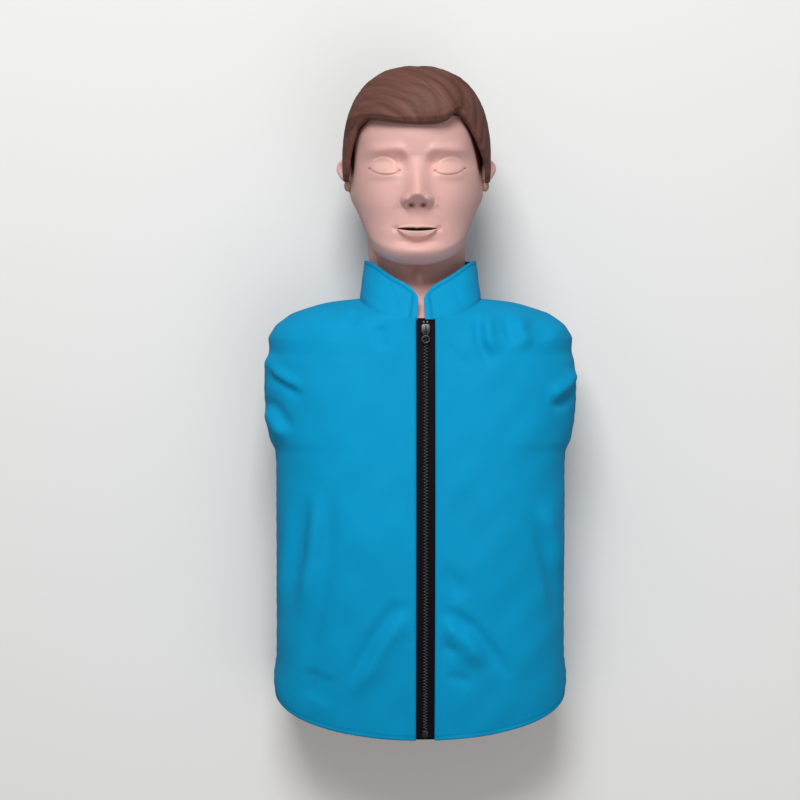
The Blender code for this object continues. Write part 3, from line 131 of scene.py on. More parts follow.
# The zip's arc, tapes, teeth, stops and box
ZIP_X = 0.005
ZIP_RADIUS = 1.0
ZIP_OPENING_HALF = 0.0105
TOP_INSET = 0.0035
BOTTOM_INSET = 0.004
CHAIN_SINK = 0.0011
TAPE_SINK = 0.0025
TAPE_HALF = 0.018
TAPE_GAP = 0.00005
TAPE_WALL = 0.0008
TAPE_THREAD_PITCH = 0.0007
CORD_MIDDLE = 0.0016
CORD_SINK = 0.0029
CORD_RADIUS = 0.0009
FIRST_TOOTH_BACK = 0.0018
LAST_TOOTH_BACK = 0.0095
TOOTH_DEPTH = 0.0026
TOOTH_MIDDLE = 0.00125
TOOTH_HALF_WIDTH = 0.00205
TOOTH_HALF_LENGTH = 0.00078
TOOTH_GRIP = 0.22
STOP_NEAR = 0.0005
STOP_FAR = 0.0032
STOP_LENGTH = 0.0035
BOX_HALF_WIDTH = 0.0034
BOX_FOOT_HALF_WIDTH = 0.0031
BOX_LENGTH = 0.008
BOX_SHOULDER = 0.006
BOX_WALL = 0.0006

# The zip's slider, its bridge, loop and ring
SLIDER_GAP = 0.0003
SLIDER_HALF_WIDTH = 0.0049
SLIDER_TAPER = 0.0006
SLIDER_HALF_LENGTH = 0.00575
SLIDER_PLATE = 0.0014
BRIDGE_HALF_LENGTH = 0.0037
BRIDGE_RISE = 0.0030
BRIDGE_RADIUS = 0.00075
PULL_AXIS = 0.0014
PULL_LIFT = 0.0009
LOOP_HALF_WIDTH = 0.0024
LOOP_HALF_LENGTH = 0.0033
LOOP_RADIUS = 0.00062
RING_HALF_WIDTH = 0.0039
RING_MIDDLE = 0.0104
RING_RADIUS = 0.00092

# The head's middle, the skull, the ears and the mask's pegs
HEAD = np.array((-0.0045, 0.275, 0.118))
SKULL_HALF_WIDTH = 0.072
SKULL_TOP = 0.097
SKULL_FRONT = 0.074
SKULL_BACK = 0.0875
SKULL_SQUARENESS = 2.3
SKULL_RIM_DROP = 0.0505
SKULL_RIM_LEAN = 0.0075
SKULL_WALL = 0.004
EAR_X = 0.0790
EAR_Y = 0.2640
EAR_Z = 0.1060
EAR_WALL = 0.0026
PEG_X = 0.0790
PEG_Y = 0.2485
PEG_Z = 0.127

# The moulded hair
HAIR_TOP = 0.1088
HAIR_HALF_WIDTH = 0.085
HAIR_FRONT = 0.107
HAIR_BACK = 0.096
HAIR_SQUARENESS = 2.4
HAIR_POLE_TILT = math.radians(26)
HAIR_LINING_HALF_WIDTH = 0.0812
HAIR_LINING_FRONT = 0.102
HAIR_LINING_GAP = 0.0016
HAIR_EDGE_ROUND = 0.0022
FRINGE_LIFT = 0.010
STRAND_PITCH = 0.0026
STRAND_DEPTH = 0.00012
SWEEP_RADIUS = 0.09
PARTING_X = 0.0385
PARTING_BOW = 0.0078
PARTING_LOW_Y = 0.318
PARTING_RUN = 0.034
PARTING_STEP = 0.0022

# The mask and the places on it
MASK_HALF_WIDTH = 0.076
MASK_SQUARENESS = 2.1
MASK_WALL = 0.0027
TAB_RISE = 0.0035
BROW_Y = 0.2800
BROW_RISE = 0.0036
EYE_X = 0.0365
EYE_Y = 0.2570
EYE_HALF_WIDTH = 0.0172
NOSE_ROOT_Y = 0.272
NOSE_END_Y = 0.2280
NOSE_TIP_Y = 0.2285
NOSE_BASE_Y = 0.2180
NOSE_RISE = 0.0200
MOUTH_Y = 0.1912
MOUTH_HALF_WIDTH = 0.0232
MOUTH_CURVE = 0.0008
MOUTH_OPEN_UP = 0.0009
MOUTH_OPEN_DOWN = 0.0026
UPPER_LIP = 0.0040
LOWER_LIP = 0.0124

# The spring and the hose inside
SPRING_WIRE = 0.0020
SPRING_TURNS = 5
SPRING_END_TURN = 0.75
HOSE_RADIUS = 0.0037
HOSE_RIB = 0.00035
HOSE_RIB_PITCH = 0.0058

# The floor, the lights and the camera
FLOOR_REACH = 4
FLOOR_DROP = 0.0006
KEY_PLACE = (-0.30, 2.00, 2.55)
KEY_WIDTH = 1.4
FILL_PLACE = (0.75, -0.95, 2.45)
FILL_WIDTH = 1.8
WORLD_STRENGTH = 0.29
CAMERA_X = -0.0236
CAMERA_Y = 0.0013
SENSOR_WIDTH = 36.0

# Points closer than this are one
MERGE_DISTANCE = 1e-7

# Rows of (station, share of the trunk's length, share of its half width), hem to neckline
TRUNK_STATIONS = (
    (0.00, 0.000, 0.939), (0.04, 0.031, 0.948), (0.12, 0.101, 0.928), (0.30, 0.343, 0.923),
    (0.48, 0.552, 0.923), (0.53, 0.607, 0.928), (0.57, 0.640, 0.961), (0.63, 0.701, 0.989),
    (0.70, 0.776, 1.000), (0.76, 0.837, 0.989), (0.79, 0.866, 0.972), (0.82, 0.897, 0.975),
    (0.85, 0.923, 0.945), (0.88, 0.945, 0.890), (0.91, 0.965, 0.807), (0.94, 0.980, 0.696),
    (0.97, 0.993, 0.541), (1.00, 1.000, 0.387),
)

# Rows of (y at the neck's side, half width, front z, front y, back z, back y) up the neck
NECK_RINGS = (
    (0.1135, 0.0600, 0.187, 0.094, 0.043, 0.122),
    (0.128, 0.0560, 0.174, 0.105, 0.048, 0.133),
    (0.142, 0.0548, 0.157, 0.122, 0.044, 0.146),
    (0.158, 0.0555, 0.1445, 0.143, 0.0535, 0.160),
    (0.174, 0.0565, 0.1425, 0.150, 0.0550, 0.176),
    (0.194, 0.0565, 0.1412, 0.156, 0.0560, 0.193),
)

# Rows of (station, half width share, middle y, middle z, edge y, edge z), chin to hairline
MASK_STATIONS = (
    (0.00, 0.68, 0.174, 0.1520, 0.194, 0.142), (0.06, 0.70, 0.160, 0.157, 0.190, 0.140),
    (0.11, 0.72, 0.1535, 0.169, 0.188, 0.139), (0.16, 0.735, 0.1535, 0.185, 0.191, 0.138),
    (0.21, 0.75, 0.158, 0.197, 0.196, 0.136), (0.28, 0.80, 0.168, 0.2035, 0.204, 0.133),
    (0.36, 0.855, 0.181, 0.2033, 0.214, 0.130), (0.43, 0.895, 0.190, 0.2035, 0.221, 0.128),
    (0.50, 0.935, 0.203, 0.2060, 0.230, 0.126), (0.58, 0.967, 0.215, 0.208, 0.239, 0.124),
    (0.66, 0.990, 0.235, 0.2090, 0.252, 0.122), (0.76, 1.000, 0.262, 0.2078, 0.270, 0.121),
    (0.84, 1.000, 0.277, 0.2108, 0.282, 0.121), (0.92, 1.000, 0.298, 0.2130, 0.299, 0.121),
    (1.00, 0.970, 0.320, 0.206, 0.316, 0.122),
)

# Soft forms of the face: (height, from the middle, y, size across, size along)
FACE_FORMS = {
    "socket": (-0.0058, 0.0340, 0.2645, 0.0190, 0.0095),
    "pit at the eye's inner corner": (-0.0040, 0.0170, 0.2625, 0.0060, 0.0100),
    "hollow under the eye": (-0.0008, 0.0340, 0.2450, 0.0150, 0.0035),
    "cheek": (0.0030, 0.0440, 0.2290, 0.0180, 0.0190),
    "chin": (0.0034, 0.0, 0.1660, 0.0190, 0.0095),
    "fold over the chin": (-0.0030, 0.0, 0.1780, 0.0200, 0.0052),
    "temple": (-0.0020, 0.0640, 0.2720, 0.0100, 0.0200),
    "forehead": (0.0010, 0.0, 0.2930, 0.0300, 0.0150),
}

# Rows of (y, half width on the right, on the left) where the mask dips under the hair; a band of
# painted shade runs along it
HAIR_GAP = (
    (0.2500, 0.0708, 0.0726), (0.2585, 0.0705, 0.0724), (0.2686, 0.0683, 0.0711),
    (0.2855, 0.0625, 0.0691), (0.3023, 0.0550, 0.0663), (0.3113, 0.0495, 0.0560),
    (0.3200, 0.0450, 0.0450),
)

# Rows of (way out from the mask's tab, radius) along a peg
PEG_PROFILE = (
    (-0.0100, 0.0030), (-0.0030, 0.0030), (-0.0026, 0.0058), (-0.0012, 0.0068),
    (0.0006, 0.0070), (0.0026, 0.0060), (0.0040, 0.0036), (0.0046, 0.0008),
)

# Rows of (y, z) along the airway's route from the mouth to the air bag
AIRWAY_STOPS = (
    (0.190, 0.179), (0.190, 0.172), (0.192, 0.160), (0.190, 0.144), (0.178, 0.126),
    (0.155, 0.115), (0.125, 0.110), (0.095, 0.112), (0.078, 0.124), (0.071, 0.145),
    (0.070, 0.165), (0.068, 0.180), (0.0615, 0.1867),
)

# Rows of (angle round from the front, angle down from the pole) along the hairline, in
# degrees, with the parting's notch at 25 round
HAIRLINE = (
    (-180, 94), (-160, 96), (-140, 99), (-124, 97), (-112, 86), (-104, 76), (-94, 78),
    (-88, 100), (-80, 113), (-68, 112), (-60, 105), (-49, 96), (-42, 90), (-34, 89), (-22, 94),
    (-9, 98), (1, 99), (11, 98), (18, 95), (25, 88), (32, 91), (40, 96), (51, 102), (66, 107),
    (76, 112), (82, 113), (89, 100), (94, 78), (104, 76), (112, 86), (124, 97), (140, 99),
    (160, 96), (180, 94),
)

# Folds of the jacket: (half width, height, points along the fold in plan); a height below
# zero is a valley
FOLDS = (
    (0.0060, -0.0056, ((-0.178, 0.046), (-0.167, 0.026), (-0.142, 0.010), (-0.128, 0.004))),
    (0.0085, 0.0059, ((-0.182, 0.060), (-0.172, 0.036), (-0.150, 0.020), (-0.128, 0.012))),
    (0.0075, -0.0046, ((-0.180, 0.004), (-0.160, -0.014), (-0.146, -0.036))),
    (0.0090, 0.0059, ((-0.182, -0.004), (-0.166, -0.024), (-0.150, -0.048))),
    (0.0055, -0.0056, ((0.180, 0.030), (0.174, 0.012), (0.160, -0.002), (0.142, -0.008))),
    (0.0085, 0.0069, ((0.181, 0.038), (0.169, 0.020), (0.152, 0.010), (0.138, 0.008))),
    (0.0062, -0.0049, ((0.064, 0.100), (0.065, 0.066), (0.076, 0.043), (0.084, 0.034))),
    (0.0085, 0.0049, ((0.073, 0.104), (0.075, 0.070), (0.086, 0.048))),
    (0.0075, -0.0036, ((0.096, 0.102), (0.099, 0.078), (0.108, 0.060))),
    (0.0090, 0.0036, ((0.107, 0.100), (0.112, 0.076), (0.124, 0.058))),
    (0.0070, -0.0026, ((-0.046, 0.086), (-0.043, 0.054))),
    (0.0070, -0.0023, ((-0.075, 0.104), (-0.077, 0.082))),
    (0.0080, -0.0020, ((0.020, 0.070), (0.041, 0.046), (0.062, 0.036))),
    (0.0085, -0.0059, ((0.000, -0.226), (-0.030, -0.234), (-0.052, -0.266), (-0.088, -0.334))),
    (0.0120, 0.0056, ((-0.006, -0.240), (-0.030, -0.252), (-0.050, -0.280), (-0.078, -0.335))),
    (0.0072, -0.0069, ((0.018, -0.227), (0.038, -0.241), (0.058, -0.255), (0.082, -0.286),
                       (0.104, -0.316))),
    (0.0120, 0.0059, ((0.016, -0.242), (0.036, -0.258), (0.055, -0.274), (0.076, -0.304))),
    (0.0100, -0.0033, ((0.012, -0.185), (-0.014, -0.196))),
    (0.0100, -0.0036, ((0.016, -0.183), (0.040, -0.206), (0.050, -0.222))),
    (0.0050, -0.0016, ((-0.002, -0.263), (-0.020, -0.272))),
    (0.0050, -0.0020, ((0.018, -0.272), (0.044, -0.283))),
    (0.0060, -0.0020, ((0.026, -0.307), (0.060, -0.318))),
    (0.0100, -0.0049, ((-0.102, -0.086), (-0.105, -0.140), (-0.108, -0.190), (-0.124, -0.270),
                       (-0.140, -0.320))),
    (0.0110, 0.0043, ((-0.116, -0.090), (-0.120, -0.160), (-0.134, -0.250))),
    (0.0090, -0.0043, ((-0.126, -0.098), (-0.138, -0.170), (-0.152, -0.240))),
    (0.0080, 0.0036, ((-0.146, -0.110), (-0.156, -0.180), (-0.164, -0.250))),
    (0.0080, -0.0049, ((0.124, -0.116), (0.139, -0.160), (0.150, -0.205), (0.160, -0.262))),
    (0.0100, 0.0046, ((0.136, -0.112), (0.152, -0.160), (0.162, -0.210))),
    (0.0100, -0.0024, ((-0.122, -0.300), (-0.126, -0.342))),
    (0.0100, -0.0020, ((-0.104, -0.306), (-0.112, -0.350))),
    (0.0100, -0.0026, ((0.120, 0.094), (0.152, 0.072))),
)


def smooth_curve(keys, values, at):
    """Monotone cubic through (keys, values), read at each number of the array at."""
    keys = np.asarray(keys, float)
    values = np.asarray(values, float)
    at = np.clip(np.asarray(at, float), keys[0], keys[-1])
    step = np.diff(keys)
    rise = np.diff(values) / step
    same_way = rise[:-1] * rise[1:] > 0
    before = 2 * step[1:] + step[:-1]
    after = step[1:] + 2 * step[:-1]
    safe = np.where(same_way, rise[:-1] * rise[1:], 1.0)
    mean = (before + after) * safe / (before * rise[1:] + after * rise[:-1] + 1e-30 * ~same_way)
    slope = np.concatenate([rise[:1], np.where(same_way, mean, 0.0), rise[-1:]])
    place = np.clip(np.searchsorted(keys, at, side="right") - 1, 0, len(step) - 1)
    width = step[place]
    t = (at - keys[place]) / width
    start = (2 * t**3 - 3 * t**2 + 1) * values[place] + (t**3 - 2 * t**2 + t) * width * slope[place]
    end = (3 * t**2 - 2 * t**3) * values[place + 1] + (t**3 - t**2) * width * slope[place + 1]
    return start + end


def table_column(rows, column, at):
    """Smooth value of one column of a table whose first column is the key."""
    table = np.asarray(rows, float)
    return smooth_curve(table[:, 0], table[:, column], at)


def ease(low, high, value):
    """Smooth step: 0 below low, 1 above high and 3t^2 - 2t^3 between."""
    t = np.clip((value - low) / (high - low), 0, 1)
    return t * t * (3 - 2 * t)


def squared(wave, power):
    """Power of a sine or cosine that keeps its sign; below 1 it squares a round outline."""
    return np.sign(wave) * np.abs(wave) ** power


def hump(x, y, centre_x, centre_y, size_x, size_y):
    """Smooth bell over a place in plan: e to minus the squared distance in widths."""
    return np.exp(-((x - centre_x) / size_x) ** 2 - ((y - centre_y) / size_y) ** 2)


def outward(grid):
    """Unit normals of a grid whose rows go towards the head and columns go round it."""
    normal = np.cross(np.gradient(grid, axis=1), np.gradient(grid, axis=0))
    return normal / np.maximum(np.linalg.norm(normal, axis=2, keepdims=True), 1e-12)


def lengths(grid):
    """UV of a grid in metres: distance along its rows from the middle column, and up them."""
    across = np.linalg.norm(np.diff(grid, axis=1), axis=2)
    along = np.linalg.norm(np.diff(grid, axis=0), axis=2)
    u = np.concatenate([np.zeros((grid.shape[0], 1)), np.cumsum(across, axis=1)], axis=1)
    v = np.concatenate([np.zeros((1, grid.shape[1])), np.cumsum(along, axis=0)], axis=0)
    return np.stack([u - u[:, u.shape[1] // 2][:, None], v], axis=2)


def quads(rows, columns, closed=False):
    """Index rows of the faces of a grid; closed joins its last column to its first."""
    r = np.arange(rows - 1)[:, None]
    c = np.arange(columns if closed else columns - 1)[None, :]
    d = (c + 1) % columns
    corners = (r * columns + c, r * columns + d, (r + 1) * columns + d, (r + 1) * columns + c)
    return np.stack(corners, axis=2).reshape(-1, 4)


def mesh_piece(name, points, faces, look, uv=None, values=None):
    """Object at the origin from arrays of points and faces, smooth, with UVs and attributes."""
    mesh = bpy.data.meshes.new(name)
    mesh.from_pydata(points.reshape(-1, 3).tolist(), [], [list(face) for face in faces])
    if uv is not None:
        corner = np.empty(len(mesh.loops), np.int32)
        mesh.loops.foreach_get("vertex_index", corner)
        layer = mesh.uv_layers.new(name="cloth")
        layer.data.foreach_set("uv", uv.reshape(-1, 2)[corner].astype(np.float32).ravel())
    for label, amounts in (values or {}).items():
        layer = mesh.attributes.new(label, "FLOAT", "POINT")
        layer.data.foreach_set("value", amounts.astype(np.float32).ravel())
    mesh.shade_smooth()
    mesh.materials.append(look)
    mesh.update()
    made = bpy.data.objects.new(name, mesh)
    bpy.context.scene.collection.objects.link(made)
    return made


def thicken(made, thickness):
    """Give an open surface a wall inwards with Solidify, so that the piece is closed."""
    step = made.modifiers.new("wall", "SOLIDIFY")
    step.thickness = thickness
    step.offset = -1.0
    step.use_even_offset = True
    apply_steps(made)
    return made


def apply_steps(made):
    """Replace the object's mesh by the result of its modifiers."""
    graph = bpy.context.evaluated_depsgraph_get()
    mesh = bpy.data.meshes.new_from_object(made.evaluated_get(graph), depsgraph=graph)
    made.modifiers.clear()
    made.data = mesh


def settle(made, body, slot, *nodes):
    """Let the piece ride on a body and stand for its CAD nodes; the slot is not used."""
    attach(made, body)
    if nodes:
        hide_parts(*nodes)
    return made


# The trunk and what lies on it


def zip_height(y):
    """Height of the zip's arc over a place along the body."""
    return CHEST_HEIGHT - ZIP_RADIUS + np.sqrt(ZIP_RADIUS**2 - (y - CHEST_PEAK_Y) ** 2)


def zip_point(x, travel, rise):
    """Point beside the zip: x, distance down the arc from its peak, and height above it."""
    angle = np.asarray(travel) / ZIP_RADIUS
    radius = ZIP_RADIUS + np.asarray(rise)
    y = CHEST_PEAK_Y - radius * np.sin(angle)
    z = CHEST_HEIGHT - ZIP_RADIUS + radius * np.cos(angle)
    return np.stack(np.broadcast_arrays(x, y, z), axis=-1)


def zip_travel(y):
    """Distance along the arc at a given y, down towards the hem."""
    return ZIP_RADIUS * math.asin((CHEST_PEAK_Y - y) / ZIP_RADIUS)


def trunk_frame(station):
    """Side y, half width, front and back height, bow, lean and lift at each station."""
    side_y = HEM_SIDE_Y + TRUNK_LENGTH * table_column(TRUNK_STATIONS, 1, station)
    width = HALF_WIDTH * table_column(TRUNK_STATIONS, 2, station)
    bow = HEM_BOW * np.clip(1 - station / 0.5, 0, 1) ** 2
    lean = smooth_curve((0.0, 0.7, 0.82, 0.88, 0.94, 1.0), (0, 0, 0.38, 0.73, 0.96, 1.0), station)
    front = zip_height(side_y - bow - NECKLINE_LEAN * lean)
    lift = smooth_curve((0.0, 0.82, 0.88, 0.94, 1.0), (0, 0, 0.125, 0.44, 1.0), station)
    return side_y, width, front, NECKLINE_BACK_HEIGHT * lift, bow, NECKLINE_LEAN * lean, lift


def trunk_surface(station, angle):
    """Grid of the jacket's outer surface without its folds.

    Each station is a squared ellipse across the body: x goes as a power of the angle's sine
    and z as a power of its cosine, flat where it meets the floor. The y falls back from the
    side by the hem's bow and the neckline's lean.
    """
    station = np.asarray(station, float)[:, None]
    angle = np.broadcast_to(angle, (len(station), np.shape(angle)[-1]))
    side_y, width, front, back, bow, lean, lift = trunk_frame(station)
    sine, cosine = np.sin(angle), np.cos(angle)
    ahead = cosine > 0
    power = np.where(ahead, 2 / FRONT_SQUARENESS, 2 / BACK_SQUARENESS)
    x = width * squared(sine, power)
    middle = (front + back) / 2
    swing = np.abs(cosine) ** power
    z = np.where(ahead, middle + (front - middle) * swing,
                 middle - (middle - back + BACK_SINK * (1 - lift)) * swing)
    y = side_y - bow * np.sqrt(np.clip(1 - (x / width) ** 2, 0, 1))
    y = y - lean * np.maximum(cosine, 0) ** 1.5
    y = y + NECKLINE_BACK_STEP * lift * np.maximum(-cosine, 0) ** 1.5
    return np.stack([x, y, np.maximum(z, 0.0)], axis=2)


def fold_height(x, y):
    """Height of all the folds at a place in plan.

    Each fold is a bell across the nearest stretch of its line, h times e to -(d/w)^2, and
    fades in and out over about the line's first and last third. Valleys level off at
    FOLD_FLOOR, as the hyperbolic tangent does, before they would meet the body.
    """
    total = np.zeros(np.broadcast(x, y).shape)
    for width, height, points in FOLDS:
        line = np.asarray(points)
        starts = np.concatenate([[0], np.cumsum(np.linalg.norm(np.diff(line, axis=0), axis=1))])
        nearest = np.full(total.shape, 1.0)
        along = np.zeros(total.shape)
        for (ax, ay), (bx, by), start in zip(line[:-1], line[1:], starts[:-1]):
            length = math.hypot(bx - ax, by - ay)
            share = np.clip(((x - ax) * (bx - ax) + (y - ay) * (by - ay)) / length**2, 0, 1)
            away = np.hypot(x - ax - share * (bx - ax), y - ay - share * (by - ay))
            closer = away < nearest
            nearest = np.where(closer, away, nearest)
            along = np.where(closer, (start + share * length) / starts[-1], along)
        fade = ease(0.0, 0.30, along) * ease(0.0, 0.35, 1 - along)
        total += height * fade * np.exp(-((nearest / width) ** 2))
    return np.where(total < 0, -FOLD_FLOOR * np.tanh(-total / FOLD_FLOOR), total)


def ripple(x, y):
    """Slow unevenness of worn cloth: slanted waves, each at most a third of a millimetre."""
    waves = ((61, 23, 0.4), (-37, 52, 1.7), (23, 81, 2.9), (96, -31, 0.9), (118, 74, 2.2),
             (-84, 127, 4.0), (150, -96, 5.1))
    return sum(0.00042 / (1 + 0.006 * math.hypot(p, q)) * np.sin(p * x + q * y + phase)
               for p, q, phase in waves)


def panel_stations(count, hem):
    """Stations from the hem to the neckline, closer together in the hem's band."""
    near = hem * 2.4 / TRUNK_LENGTH
    return np.concatenate([np.linspace(0, near, 14)[:-1],
                           1 - (1 - near) * (1 - np.linspace(0, 1, count)) ** 1.15])


def between(start, end, count):
    """Rows of angles from each row's start to its end."""
    share = np.linspace(0, 1, count)
    return np.atleast_1d(start)[:, None] * (1 - share) + np.atleast_1d(end)[:, None] * share


def zip_edge_angle(station, x):
    """Angle at which the outline of each station passes a given x near the zip."""
    width = trunk_frame(np.asarray(station, float))[1]
    return np.arcsin(np.sign(x) * (abs(x) / width) ** (FRONT_SQUARENESS / 2))


def seam_angle(squareness):
    """Angle beside the side seam that leaves half of its gap."""
    return math.acos((SEAM_HALF_GAP / (CHEST_HEIGHT / 2)) ** (squareness / 2))


def cloth_panel(name, stations, angles, front, settings, look):
    """Panel of the jacket between two edges, with folds, side seam and a stitched hem.

    The folds and ripples lift the smooth surface along its normal. The hem's band stands up
    by its second layer, with a groove along the stitches; the side seam puckers.
    """
    plain = trunk_surface(stations, angles)
    ways = lengths(plain)
    hem_way = ways[..., 1]
    x, y, z = plain[..., 0], plain[..., 1], plain[..., 2]
    lift = (fold_height(x, y) + ripple(x, y)) * ease(0.03, 0.09, z) if front else (
        ripple(x, y) * ease(0.004, 0.05, z))
    edge = settings.hem_width
    lift = lift * ease(0.0, 0.012, hem_way + 0.004)
    lift += HEM_RISE * ease(edge + 0.0012, edge - 0.0004, hem_way) * ease(
        -0.0008, 0.0016, hem_way)
    lift -= STITCH_GROOVE * np.exp(-((hem_way - edge) / STITCH_HALF_WIDTH) ** 2)
    from_side = np.abs(angles).max(axis=1, keepdims=True) - np.abs(angles) if front else (
        np.minimum(angles - angles[:, :1], angles[:, -1:] - angles))
    to_zip = np.abs(x - ZIP_X) - ZIP_OPENING_HALF
    if front:
        lift *= ease(-0.001, 0.018, to_zip)
        lift += ZIP_EDGE_RISE * ease(0.0, 0.0012, to_zip) * ease(0.0075, 0.0060, to_zip)
    seam_way = from_side * SEAM_TURN_RADIUS
    lift *= ease(0.0, 0.03, seam_way)
    pucker = PUCKER_HEIGHT * np.sin(2 * np.pi * y / PUCKER_PITCH + 2.0 * np.sin(60 * y))
    lift += pucker * np.exp(-(seam_way / PUCKER_REACH) ** 2) * ease(0, 0.004, seam_way)
    outer = plain + outward(plain) * lift[..., None]
    outer[..., 2] = np.maximum(outer[..., 2], 0.0)
    made = mesh_piece(name, outer, quads(*outer.shape[:2]), look, ways,
                      {"hem": np.exp(-((hem_way - edge) / STITCH_TINT_HALF_WIDTH) ** 2)})
    note_cut_size(made, outer)
    return thicken(made, settings.thickness)


def note_cut_size(made, grid):
    """Keep the widest girth and the longest height of a sheet's grid with its object."""
    made["girth"] = float(np.linalg.norm(np.diff(grid, axis=1), axis=2).sum(axis=1).max())
    made["height"] = float(np.linalg.norm(np.diff(grid, axis=0), axis=2).sum(axis=0).max())


def declare_cloth(made):
    """Work out the panel's cut size, its widest girth and its longest height, and its own area, and
    keep none of them.

    The area is half of the closed shell's, which has two sides, and it is kept within the
    rectangle of the cut size.
    """
    corners = np.array([v.co for v in made.data.vertices])
    triangles = made.data.loop_triangles
    index = np.array([t.vertices for t in triangles])
    a, b, c = corners[index[:, 0]], corners[index[:, 1]], corners[index[:, 2]]
    area = np.linalg.norm(np.cross(b - a, c - a), axis=1).sum() / 4
    width, height = made["girth"], made["height"]
    area = float(np.clip(area, 0.31 * width * height, width * height))


def collar_surface(angles, rises):
    """Grid from the neckline up to the collar's free edge.

    The free edge is an ellipse round the neck whose y falls towards the front and drops at
    each front corner along a quarter round.
    """
    base = trunk_surface([0.99, 1.0], angles)[1]
    across, facing = np.sin(angles), np.cos(angles)
    middle = (COLLAR_FRONT_HEIGHT + COLLAR_BACK_HEIGHT) / 2
    reach = (COLLAR_FRONT_HEIGHT - COLLAR_BACK_HEIGHT) / 2
    rim_y = np.where(facing > 0, COLLAR_SIDE_Y + (COLLAR_FRONT_Y - COLLAR_SIDE_Y) * facing**3,
                     COLLAR_SIDE_Y + (COLLAR_BACK_Y - COLLAR_SIDE_Y) * np.abs(facing) ** 2)
    rim = np.stack([COLLAR_HALF_WIDTH * across, rim_y, middle + reach * facing], axis=1)
    from_edge = np.minimum(angles - angles[0], angles[-1] - angles) * COLLAR_HALF_WIDTH
    corner = np.clip(1 - from_edge / COLLAR_CORNER, 0, 1)
    drop = 1 - np.sqrt(1 - 0.96 * corner**2)
    share = 1 - drop * COLLAR_CORNER / np.linalg.norm(rim - base, axis=1)
    share = np.asarray(rises)[:, None] * share[None, :]
    return base[None] + (rim - base)[None] * share[:, :, None]


def make_collar(settings, look):
    """Stand collar of two layers, stitched along its edges, with a crease on its left half."""
    width = float(trunk_frame(np.array([1.0]))[1][0])
    start = math.asin((ZIP_X - COLLAR_GAP_RIGHT) / width)
    end = 2 * math.pi + math.asin((ZIP_X - ZIP_OPENING_HALF + COLLAR_GAP_LEFT) / width)
    share = np.linspace(0, 1, 301)
    angles = start + (end - start) * (share - 0.10 * np.sin(2 * math.pi * share) / math.pi)
    rises = np.concatenate([np.linspace(0, 0.12, 10)[:-1], np.linspace(0.12, 0.86, 34),
                            np.linspace(0.86, 1, 14)[1:]])
    grid = collar_surface(angles, rises)
    up = grid[-1] - grid[0]
    up /= np.maximum(np.linalg.norm(up, axis=1, keepdims=True), 1e-9)
    tuck = np.linspace(1, 0, 7)[:, None, None]
    grid[:7] -= (0.0016 * up + 0.0012 * outward(grid)[:7]) * tuck
    ways = lengths(grid)
    from_top = ways[-1:, :, 1] - ways[..., 1]
    from_seam = ways[..., 1]
    from_front = np.minimum(angles - angles[0], angles[-1] - angles) * COLLAR_TURN_RADIUS
    edge = np.minimum(from_top, from_front)
    lift = 0.0003 * np.sin(260 * grid[..., 0] + 90 * grid[..., 1]) * np.sin(190 * grid[..., 1])
    lift -= COLLAR_GROOVE * np.exp(-((edge - settings.hem_width) / 0.0010) ** 2)
    lift += COLLAR_GROOVE * ease(0.004, 0.0, from_seam)
    crease_x = -0.031 - 0.4 * (grid[..., 1] - 0.122)
    crease = np.exp(-((grid[..., 0] - crease_x) / 0.0011) ** 2) * (grid[..., 2] > 0.11)
    lift -= COLLAR_CREASE * crease * ease(0.002, 0.008, from_seam) * ease(0.0, 0.006, from_top)
    soft = hump(grid[..., 0], grid[..., 1], 0.043, 0.118, 0.006, 0.012) * (grid[..., 2] > 0.1)
    lift -= COLLAR_CREASE * soft * ease(0.001, 0.006, from_seam)
    grid = grid + outward(grid) * lift[..., None]
    made = mesh_piece("collar_band", grid, quads(*grid.shape[:2]), look, ways,
                      {"hem": np.exp(-((edge - settings.hem_width) / 0.0012) ** 2)})
    note_cut_size(made, grid)
    return thicken(made, COLLAR_THICKNESS)


def neck_middle(y):
    """The neck's middle runs from the body's middle to the head's."""
    return HEAD[0] * np.clip((y - NECK_START_Y) / NECK_RUN, 0, 1)


def trunk_skin(angles, rows, ring_rows):
    """Grid under the jacket: the hem end's wall, the trunk and the neck's sleeve."""
    share = 1 - (1 - np.linspace(0, 1, rows)) ** 1.25
    station = END_RECESS + (SKIN_TOP_STATION - END_RECESS) * share
    trunk = trunk_surface(station, angles)
    trunk = trunk - outward(trunk) * SKIN_INSET
    front = math.cos(angles.mean()) > 0
    _, _, high, low, _, _, _ = trunk_frame(station)
    level = ((high + low) / 2)[:, None]
    trunk[..., 2] = (np.maximum if front else np.minimum)(trunk[..., 2], level)
    side_y, width, high, low, bow, _, _ = (float(v[0]) for v in trunk_frame(station[:1]))
    middle = (high + low) / 2
    inward = np.array((0.004, 0.2, 0.4, 0.6, 0.8, 0.95))[:, None]
    x = trunk[0, :, 0] * inward
    z = middle + (trunk[0, :, 2] - middle) * inward
    y = side_y - bow * np.sqrt(np.clip(1 - (x / width) ** 2, 0, 1))
    wall = np.stack([x, y, z], axis=2)
    table = np.asarray(NECK_RINGS)
    side = np.linspace(table[0, 0], table[-1, 0], ring_rows)[:, None]
    half, front_z, front_y, back_z, back_y = (smooth_curve(table[:, 0], table[:, c], side)
                                              for c in range(1, 6))
    facing = np.cos(angles)[None, :]
    towards = np.where(facing > 0, front_y - side, back_y - side)
    rings = np.stack([neck_middle(side) + half * np.sin(angles),
                      side + towards * np.abs(facing) ** 1.5,
                      (front_z + back_z) / 2 + (front_z - back_z) / 2 * facing], axis=2)
    return np.concatenate([wall, trunk, rings])


